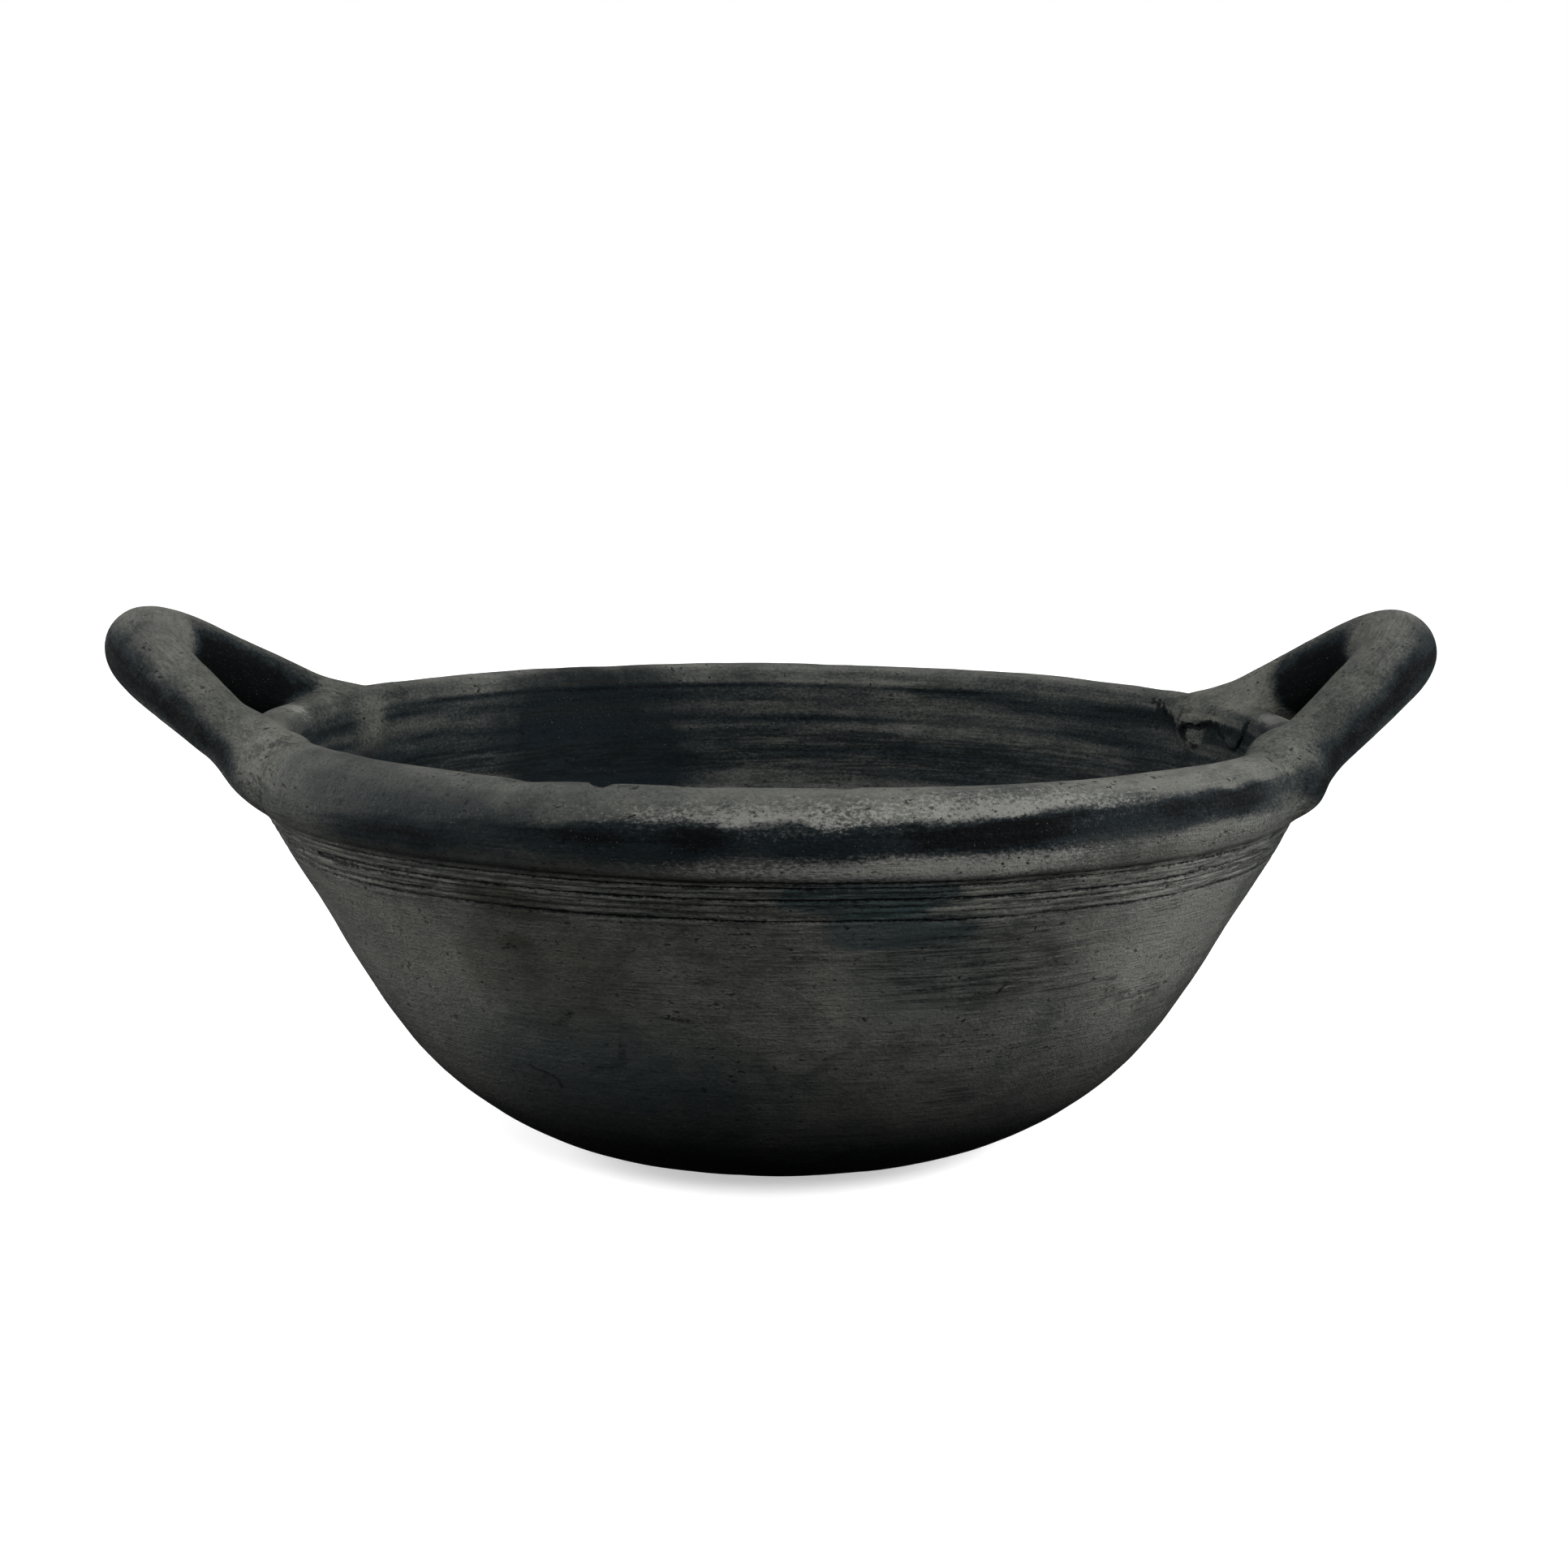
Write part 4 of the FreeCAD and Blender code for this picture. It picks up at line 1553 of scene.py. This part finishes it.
@dataclass(frozen=True)
class Patterns:
    """Coordinates and noises that all parts of a clay material share; a noise is between 0 and 1."""

    place: Socket           # Object coordinates in millimetres
    jitter: Socket          # small random vector
    drag: Socket            # coordinates squeezed so that noise runs along the drag of the hand
    drawn: Socket | float   # how clearly the drag lines show
    mottle: Socket
    streak: Socket
    fine_streak: Socket
    grit: Socket
    crumbs: Socket


@dataclass(frozen=True)
class ClayFinish:
    """Fired black clay: its tones, how it was smoothed, and how coarse it is."""

    name: str
    light: Colour
    dark: Colour
    drag: Triple                            # squeeze of the drag lines along each axis
    on_flow: bool                           # drag lines follow the piece's own flow attribute
    rough_low: float = 0.4
    rough_high: float = 0.62
    refraction: float = 1.5
    specular: float = 0.05
    scuffed: float = 0.85       # how far dragged lines darken the clay
    pitted: float = 0.75        # how far pits darken it
    worn_at: Triple = (38.0, -98.0, 61.0)   # middle of the most dragged patch
    worn_size: Triple = (24.0, 30.0, 11.0)
    band: tuple[float, float, float, float] = (69.0, 71.0, 79.0, 80.0)      # heights of the dragged band
    dragged_from: tuple[float, float] | None = None     # X where the drag lines start to show fully
    scratches: tuple[Scratch, ...] = ()

    def material(self) -> bpy.types.Material:
        """Builds the node material on Object coordinates in millimetres.

        Returns:
            The material.
        """
        n = Nodes(self.name)
        p = self.patterns(n)
        # Stain and painted shade from the mesh attribute, made patchy by noise.
        smoke_and_shade = n.math("ADD", n.attribute("soot_and_shade"), n.swing(p.crumbs, 1.1))
        smoke_and_shade = n.math("ADD", smoke_and_shade, n.swing(p.streak, 0.6))
        scoring, pits = self.scoring(n, p), self.pits(n, p)
        colour = self.tone(n, p)
        # Patches of colour in space: fire marks and scuffs, and painted shade, highlights and sheen.
        for cloud in COLOUR_PATCHES:
            colour = self.stain(n, p, colour, cloud)
        colour = self.smoked_and_shaded(n, p, colour, smoke_and_shade)
        colour = self.broken(n, p, colour, scoring, pits)

        rough = n.math("ADD", n.math("MULTIPLY", p.mottle, 0.6), n.math("MULTIPLY", p.streak, 0.4))
        rough = n.ramp(rough, 0.3, 0.7, self.rough_low, self.rough_high)
        rough = n.math("ADD", rough, n.math("MULTIPLY", smoke_and_shade, 0.25), clamp=True)
        shader = n.add("ShaderNodeBsdfPrincipled")
        n.feed(shader.inputs["Base Color"], colour)
        n.feed(shader.inputs["Roughness"], rough)
        n.feed(shader.inputs["Normal"], self.relief(n, p, scoring, pits))
        shader.inputs["IOR"].default_value = self.refraction
        shader.inputs["Specular IOR Level"].default_value = self.specular
        return n.finish(shader)

    def patterns(self, n: Nodes) -> Patterns:
        """Makes the shared noises.

        Args:
            n: nodes of the material.

        Returns:
            The noises.
        """
        place = n.vector("SCALE", n.add("ShaderNodeTexCoord").outputs["Object"], 1.0 / METRES_PER_MM)
        drag = n.vector("MULTIPLY", n.attribute("flow", "Vector") if self.on_flow else place, self.drag)
        drawn = 1.0
        if self.dragged_from:
            across = n.vector("DOT_PRODUCT", place, (1.0, 0.0, 0.0))
            drawn = n.ramp(across, *self.dragged_from, 0.3, 1.0)
        jitter = n.add("ShaderNodeTexNoise")
        n.feed(jitter.inputs["Vector"], place)
        return Patterns(
            place=place, drag=drag, drawn=drawn,
            jitter=n.vector("SUBTRACT", jitter.outputs["Color"], (0.5, 0.5, 0.5)),
            mottle=n.noise(place, 0.16, 4.0, 0.65),
            streak=n.noise(drag, 0.8, 5.0, 0.65),
            fine_streak=n.noise(drag, 3.0, 4.0, 0.65),
            grit=n.noise(place, 1.3, 4.0, 0.7),
            crumbs=n.noise(n.vector("MULTIPLY", place, (0.6, 0.6, 1.1)), 1.7, 4.0, 0.75))

    def tone(self, n: Nodes, p: Patterns) -> Socket:
        """Colour of clean clay: a blend of dark and light by broad clouding plus four finer noises.

        Args:
            n: nodes of the material.
            p: its shared noises.

        Returns:
            The colour.
        """
        clouding = n.noise(p.place, 0.024, 4.0, 0.6, 0.6)
        tone = n.ramp(clouding, 0.3, 0.7, 0.25, 0.85)
        for pattern, share, along_drag in ((p.mottle, 1.1, False), (p.streak, 0.8, True),
                                           (p.fine_streak, 1.3, True), (p.grit, 1.3, False)):
            part = n.swing(pattern, share)
            if along_drag:
                part = n.math("MULTIPLY", part, p.drawn)
            tone = n.math("ADD", tone, part)
        return n.mix(n.math("ADD", tone, 0.0, clamp=True), self.dark, self.light)

    def scoring(self, n: Nodes, p: Patterns) -> Socket:
        """Thin lines dragged into the skin, 0 to -1.

        They are the low parts of a noise squeezed along the drag, and show in the worn patch, in the
        band of incised lines, and here and there by a broad noise.

        Args:
            n: nodes of the material.
            p: its shared noises.

        Returns:
            Depth of the lines.
        """
        worn = n.vector("DIVIDE", n.vector("SUBTRACT", p.place, self.worn_at), self.worn_size)
        worn = n.ramp(n.vector("LENGTH", worn), 0.6, 1.3, 1.0, 0.0)
        up = n.vector("DOT_PRODUCT", p.place, (0.0, 0.0, 1.0))
        banded = n.math("MULTIPLY", n.ramp(up, *self.band[:2]), n.ramp(up, *self.band[2:], 1.0, 0.0))
        shown = n.math("MULTIPLY", n.ramp(n.noise(p.place, 0.05, 3.0, 0.6), 0.52, 0.66), p.drawn)
        shown = n.math("MAXIMUM", n.math("MAXIMUM", shown, worn), banded)
        lines = n.ramp(n.noise(p.drag, 1.4, 5.0, 0.75), 0.42, 0.52, -1.0, 0.0)
        return n.math("MULTIPLY", n.math("MULTIPLY", shown, lines), n.ramp(p.grit, 0.35, 0.6, 0.2, 1.0))

    def pits(self, n: Nodes, p: Patterns) -> Socket:
        """Small pits, 0 to -1: spots round the points of a jittered Voronoi pattern, larger in mottled clay.

        Args:
            n: nodes of the material.
            p: its shared noises.

        Returns:
            Depth of the pits.
        """
        cells = n.add("ShaderNodeTexVoronoi")
        squeezed = n.vector("MULTIPLY", p.place, (0.6, 0.6, 1.2))
        n.feed(cells.inputs["Vector"], n.vector("ADD", squeezed, p.jitter))
        cells.inputs["Scale"].default_value = 0.42
        size = n.ramp(p.mottle, 0.42, 0.7, 0.0, 0.22)
        return n.ramp(n.math("SUBTRACT", cells.outputs["Distance"], size), -0.06, 0.03, -1.0, 0.0)

    def smoked_and_shaded(self, n: Nodes, p: Patterns, colour: Socket, smoke_and_shade: Socket) -> Socket:
        """Darkens the colour by stain and painted shade, towards the bottom (painted shade on the outside)
        and where the clay was cut (painted shade), and adds pale specks.

        Args:
            n: nodes of the material.
            p: its shared noises.
            colour: colour so far.
            smoke_and_shade: strength of the stain and painted shade.

        Returns:
            The new colour.
        """
        # foot: painted shade towards the foot outside, and a darkening of the inside towards its floor;
        # hollow: painted shade in the cuts and dents, and a painted shadow along a wad's torn edge.
        foot = n.attribute("foot")
        hollow = n.math("MULTIPLY", n.attribute("hollow"), n.ramp(p.crumbs, 0.3, 0.7, 0.3, 1.7))
        speck = n.noise(p.place, 2.6, 2.0, 0.5)
        layers = ((n.ramp(smoke_and_shade, 0.08, 0.95, 0.0, 0.97), INK),
                  (n.ramp(smoke_and_shade, 0.85, 1.2, 0.0, 0.97), BLACK),
                  (foot, SOOT_AND_SHADE),
                  (n.ramp(foot, 0.6, 1.05), BLACK),
                  (n.ramp(hollow, 0.24, 0.55, 0.0, 0.95), SOOT_AND_SHADE),
                  (n.ramp(speck, 0.68, 0.78, 0.0, 0.3), ASH_AND_HIGHLIGHT))
        for cover, layer in layers:
            colour = n.mix(cover, colour, layer)
        return colour

    def broken(self, n: Nodes, p: Patterns, colour: Socket, scoring: Socket, pits: Socket) -> Socket:
        """Darkens the colour in pits, dragged lines, pores and scratches.

        Args:
            n: nodes of the material.
            p: its shared noises.
            colour: colour so far.
            scoring: depth of the dragged lines.
            pits: depth of the pits.

        Returns:
            The new colour.
        """
        colour = n.mix(n.math("MULTIPLY", pits, -self.pitted), colour, SOOT_AND_SHADE)
        colour = n.mix(n.math("MULTIPLY", scoring, -self.scuffed), colour, SOOT_AND_SHADE)
        squeezed = n.vector("MULTIPLY", p.place, (0.55, 0.55, 1.0))
        pores = n.ramp(n.noise(squeezed, 1.1, 2.0, 0.6), 0.635, 0.68)
        pores = n.math("MULTIPLY", pores, n.ramp(p.mottle, 0.42, 0.6, 0.2, 0.95))
        colour = n.mix(pores, colour, SOOT_AND_SHADE)
        unsteady = n.vector("ADD", p.place, n.vector("SCALE", p.jitter, 1.2))
        for scratch in self.scratches:
            colour = n.mix(self.scratched(n, unsteady, p.grit, scratch), colour, BLACK)
        return colour

    def relief(self, n: Nodes, p: Patterns, scoring: Socket, pits: Socket) -> Socket:
        """Fine relief: a weighted sum of the noises, the pits and the dragged lines, in millimetres.

        Args:
            n: nodes of the material.
            p: its shared noises.
            scoring: depth of the dragged lines.
            pits: depth of the pits.

        Returns:
            The bumped normal.
        """
        coarse = n.noise(p.place, 0.5, 4.0, 0.6)
        height = n.math("MULTIPLY", p.streak, 0.4)
        for pattern, share in ((p.fine_streak, 0.34), (coarse, 0.5), (p.grit, 0.6), (p.crumbs, 0.55),
                               (pits, 0.6), (scoring, 0.3)):
            height = n.math("ADD", height, n.math("MULTIPLY", pattern, share))
        bump_node = n.add("ShaderNodeBump")
        bump_node.inputs["Strength"].default_value = 1.0
        bump_node.inputs["Distance"].default_value = METRES_PER_MM
        n.feed(bump_node.inputs["Height"], height)
        return bump_node.outputs["Normal"]

    @staticmethod
    def scratched(n: Nodes, place: Socket, grit: Socket, scratch: Scratch) -> Socket:
        """How much of one scratch covers a place.

        It is a ramp of the distance to the nearest of the scratch's runs, measured along the wall: what
        lies across the wall is taken out, and only the outer skin is marked.

        Args:
            n: nodes of the material.
            place: unsteady coordinates in millimetres.
            grit: noise that breaks the scratch up.
            scratch: the scratch.

        Returns:
            Cover, 0 to its strength.
        """
        first = np.array(scratch.path[0])
        outward = unit(np.array([first[0], first[1], -WALL_FLARE * math.hypot(first[0], first[1])]))
        away = n.vector("SUBTRACT", place, tuple(first))
        off_wall = n.vector("DOT_PRODUCT", away, tuple(outward))
        along_wall = n.vector("SUBTRACT", away, n.vector("SCALE", tuple(outward), off_wall))
        nearest = None
        for start, end in zip(scratch.path, scratch.path[1:]):
            start, run = start - first, np.subtract(end, start)
            start, run = start - start @ outward * outward, run - run @ outward * outward
            away = n.vector("SUBTRACT", along_wall, tuple(start))
            share = n.vector("DOT_PRODUCT", away, tuple(run))
            share = n.math("MULTIPLY", share, 1.0 / float(run @ run), clamp=True)
            away = n.vector("LENGTH", n.vector("SUBTRACT", away, n.vector("SCALE", tuple(run), share)))
            nearest = away if nearest is None else n.math("MINIMUM", nearest, away)
        cover = n.ramp(nearest, 0.3 * scratch.width, scratch.width, scratch.strength, 0.0)
        if scratch.broken:
            cover = n.math("MULTIPLY", cover, n.ramp(grit, 0.46, 0.46 + 0.12 * scratch.broken, 0.1, 1.0))
        return n.math("MULTIPLY", cover, n.ramp(n.math("ABSOLUTE", off_wall), 3.0, 4.0, 1.0, 0.0))

    @staticmethod
    def stain(n: Nodes, p: Patterns, colour: Socket, cloud: ColourPatch) -> Socket:
        """Lays one patch of colour, stain and painted light alike, over the colour: the scaled distance from
        its middle, made ragged by noise.

        Args:
            n: nodes of the material.
            p: its shared noises.
            colour: colour so far.
            cloud: the patch.

        Returns:
            The new colour.
        """
        away = n.vector("SUBTRACT", p.place, cloud.at)
        away = n.vector("LENGTH", n.vector("DIVIDE", away, cloud.size))
        edge = n.math("ADD", n.swing(n.noise(p.place, 0.09, 4.0, 0.65), 2 * cloud.ragged),
                      n.swing(p.streak, 0.5))
        if cloud.speckled:
            edge = n.math("ADD", edge, n.swing(p.crumbs, 7 * cloud.speckled))
        away = n.math("ADD", away, edge)
        cover = n.ramp(away, 1.0 - cloud.soft, 1.0 + cloud.soft, cloud.strength, 0.0)
        return n.mix(cover, colour, cloud.colour)


BOWL_CLAY = ClayFinish("burnished_bowl_clay", light=grey(0.105, 0.106, 0.094), dark=grey(0.026, 0.029, 0.028),
                       drag=(0.045, 0.045, 1.0), on_flow=False, dragged_from=(-45.0, 25.0),
                       scratches=SCRATCHES)
HANDLE_CLAY = ClayFinish("wiped_handle_clay", light=grey(0.12, 0.12, 0.107), dark=grey(0.024, 0.026, 0.025),
                         drag=(0.12, 0.8, 0.8), on_flow=True, rough_low=0.44, rough_high=0.66)
WAD_CLAY = ClayFinish("smeared_luting_clay", light=grey(0.11, 0.111, 0.096), dark=grey(0.024, 0.027, 0.025),
                      drag=(0.25, 0.6, 0.6), on_flow=True, rough_low=0.44, rough_high=0.68)


# ---- studio ---------------------------------------------------------------------------------------

@dataclass(frozen=True)
class SoftBox:
    """Rectangular lamp that faces the bowl; metres and watts."""

    name: str
    place: Triple
    width: float
    height: float
    power: float


@dataclass(frozen=True)
class Studio:
    """Pale floor, soft lights and the camera; sizes are in metres."""

    eye: Triple = (0.0009, -0.5878, 0.1678)
    pitch: float = 0.1465               # of the camera, radians below level
    lens: float = 60.56
    sensor: float = 36.0
    clip: tuple[float, float] = (0.05, 50.0)
    floor_size: float = 9.0
    floor_glow: float = 0.45            # keeps the floor as white as the room
    room_light: float = 0.012           # what the white room gives to the bowl
    sky_strength: float = 2.0
    sky_width: float = 110.0            # degrees over which the sky's light comes in
    sky_tilt: float = -14.0             # degrees from straight above, towards the back
    aim: Triple = (0.0, 0.0, 0.06)
    boxes: tuple[SoftBox, ...] = (
        SoftBox("left_side", (-1.1, 0.1, 0.3), 0.9, 0.8, 24.0),
        SoftBox("right_side", (1.1, 0.0, 0.3), 0.9, 0.8, 27.0),
        SoftBox("front_fill", (0.25, -1.5, 0.75), 0.7, 0.4, 27.0))

    @staticmethod
    def add(name: str, data: bpy.types.ID) -> bpy.types.Object:
        """New object in the scene.

        Args:
            name: the object's name.
            data: its camera, lamp or mesh.

        Returns:
            The object.
        """
        thing = bpy.data.objects.new(name, data)
        bpy.context.scene.collection.objects.link(thing)
        return thing

    def camera(self) -> None:
        """Places the camera a little above the rim, looking down at the bowl's front."""
        data = bpy.data.cameras.new("camera")
        data.lens, data.sensor_width = self.lens, self.sensor
        data.clip_start, data.clip_end = self.clip
        camera = self.add("camera", data)
        camera.location = self.eye
        camera.rotation_euler = (math.pi / 2 - self.pitch, 0.0, 0.0)
        bpy.context.scene.camera = camera

    def soft_box(self, box: SoftBox) -> None:
        """Adds one lamp and turns it to the bowl.

        Args:
            box: the lamp.
        """
        data = bpy.data.lights.new(box.name, "AREA")
        data.shape, data.size, data.size_y, data.energy = "RECTANGLE", box.width, box.height, box.power
        lamp = self.add(box.name, data)
        lamp.location = box.place
        direction = Vector(self.aim) - Vector(box.place)
        lamp.rotation_euler = direction.to_track_quat("-Z", "Y").to_euler()

    def lights(self) -> None:
        """Even sky overhead, and the soft boxes at the sides and in front."""
        sky = bpy.data.lights.new("sky", "SUN")
        sky.energy, sky.angle = self.sky_strength, math.radians(self.sky_width)
        self.add("sky", sky).rotation_euler = (math.radians(self.sky_tilt), 0.0, 0.0)
        for box in self.boxes:
            self.soft_box(box)

    def surroundings(self) -> None:
        """White room that is seen as it is and that lights the bowl only a little."""
        world = bpy.data.worlds.new("room")
        world.use_nodes = True
        tree = world.node_tree
        tree.nodes.clear()
        output = tree.nodes.new("ShaderNodeOutputWorld")
        mix = tree.nodes.new("ShaderNodeMixShader")
        path = tree.nodes.new("ShaderNodeLightPath")
        tree.links.new(path.outputs["Is Camera Ray"], mix.inputs["Fac"])
        for socket, strength in ((mix.inputs[1], self.room_light), (mix.inputs[2], 1.0)):
            white = tree.nodes.new("ShaderNodeBackground")
            white.inputs["Color"].default_value = (1, 1, 1, 1)
            white.inputs["Strength"].default_value = strength
            tree.links.new(white.outputs["Background"], socket)
        tree.links.new(mix.outputs["Shader"], output.inputs["Surface"])
        bpy.context.scene.world = world

    def floor(self) -> None:
        """Pale floor under the foot, which doesn't throw its own light on the bowl."""
        half = self.floor_size / 2
        corners = [(-half, -half, 0), (half, -half, 0), (half, half, 0), (-half, half, 0)]
        mesh = bpy.data.meshes.new("floor")
        mesh.from_pydata(corners, [], [(0, 1, 2, 3)])
        n = Nodes("pale_floor")
        shader = n.add("ShaderNodeBsdfPrincipled")
        shade = n.noise(n.add("ShaderNodeTexCoord").outputs["Object"], 3.0)
        n.feed(shader.inputs["Base Color"], n.mix(shade, grey(0.88, 0.88, 0.88), grey(0.92, 0.92, 0.92)))
        shader.inputs["Roughness"].default_value = 0.9
        shader.inputs["Emission Color"].default_value = grey(1.0, 1.0, 1.0)
        shader.inputs["Emission Strength"].default_value = self.floor_glow
        mesh.materials.append(n.finish(shader))
        floor = self.add("floor", mesh)
        floor.visible_glossy = False
        floor.visible_diffuse = False

    def build(self) -> None:
        """Sets the whole studio and the plain colour transform."""
        self.camera()
        self.lights()
        self.surroundings()
        self.floor()
        bpy.context.scene.view_settings.view_transform = "Standard"


# ---- assembly -------------------------------------------------------------------------------------

@dataclass(frozen=True)
class HandleShape:
    """Sizes of one handle that the frame's box doesn't give."""

    side: Side
    node: str
    lean_back: float                    # how much higher the grip stands than the box says
    root_press: tuple[float, float]
    # where the painted shade inside the back leg starts
    inner_shade_from: float
    thickness: float = 8.2              # radius of the coil
    root: Triple = (105.0, 44.0, 89.2)  # X, Y and height of the roots in an upright bowl
    root_share: float = 0.75            # share of lean_back that the roots follow

    def loop(self) -> Loop:
        """Centre line of the handle, its grip placed from the frame's box.

        Returns:
            The centre line.
        """
        low, high = node_box(self.node)
        tip_x = max(abs(low[0]), abs(high[0])) - self.thickness
        tip_z = high[2] - self.thickness + self.lean_back
        x, y, z = self.root
        root = (x, y, z + self.lean_back * self.root_share)
        return Loop(self.side, (tip_x, tip_z), root, self.thickness, self.root_press, self.inner_shade_from)


HANDLE_SHAPES = (
    HandleShape(Side.LEFT, "left_handle", lean_back=-1.2, root_press=(2.3, 0.3), inner_shade_from=0.1),
    HandleShape(Side.RIGHT, "right_handle", lean_back=1.2, root_press=(0.9, 0.5), inner_shade_from=0.26),
)


def main() -> None:
    """Builds the bowl, its handles and wads, and the studio."""
    logging.basicConfig(level=logging.INFO, format="%(name)s: %(message)s")
    hand = HandMade()
    outline = Outline()
    bowl_clay, handle_clay, wad_clay = (f.material() for f in (BOWL_CLAY, HANDLE_CLAY, WAD_CLAY))
    Bowl(outline, hand).build(bowl_clay)
    rim = RimField(outline.rows()[0])
    for shape in HANDLE_SHAPES:
        loop = shape.loop()
        handle = Handle(loop, hand).build(f"{shape.node}_coil")
        settle(handle, handle_clay, "handle_clay", shape.node)
        for end in End:
            node = f"{shape.side.name.lower()}_{end.name.lower()}_luting_wad"
            torn = (shape.side, end) == (Side.RIGHT, End.BACK)
            wad = LutingWad(loop, end, rim, hand, TORN if torn else SMEARED)
            settle(wad.build(f"{node}_skin"), wad_clay, "luting_clay", node)
    Studio().build()


if __name__ == "__main__":
    main()
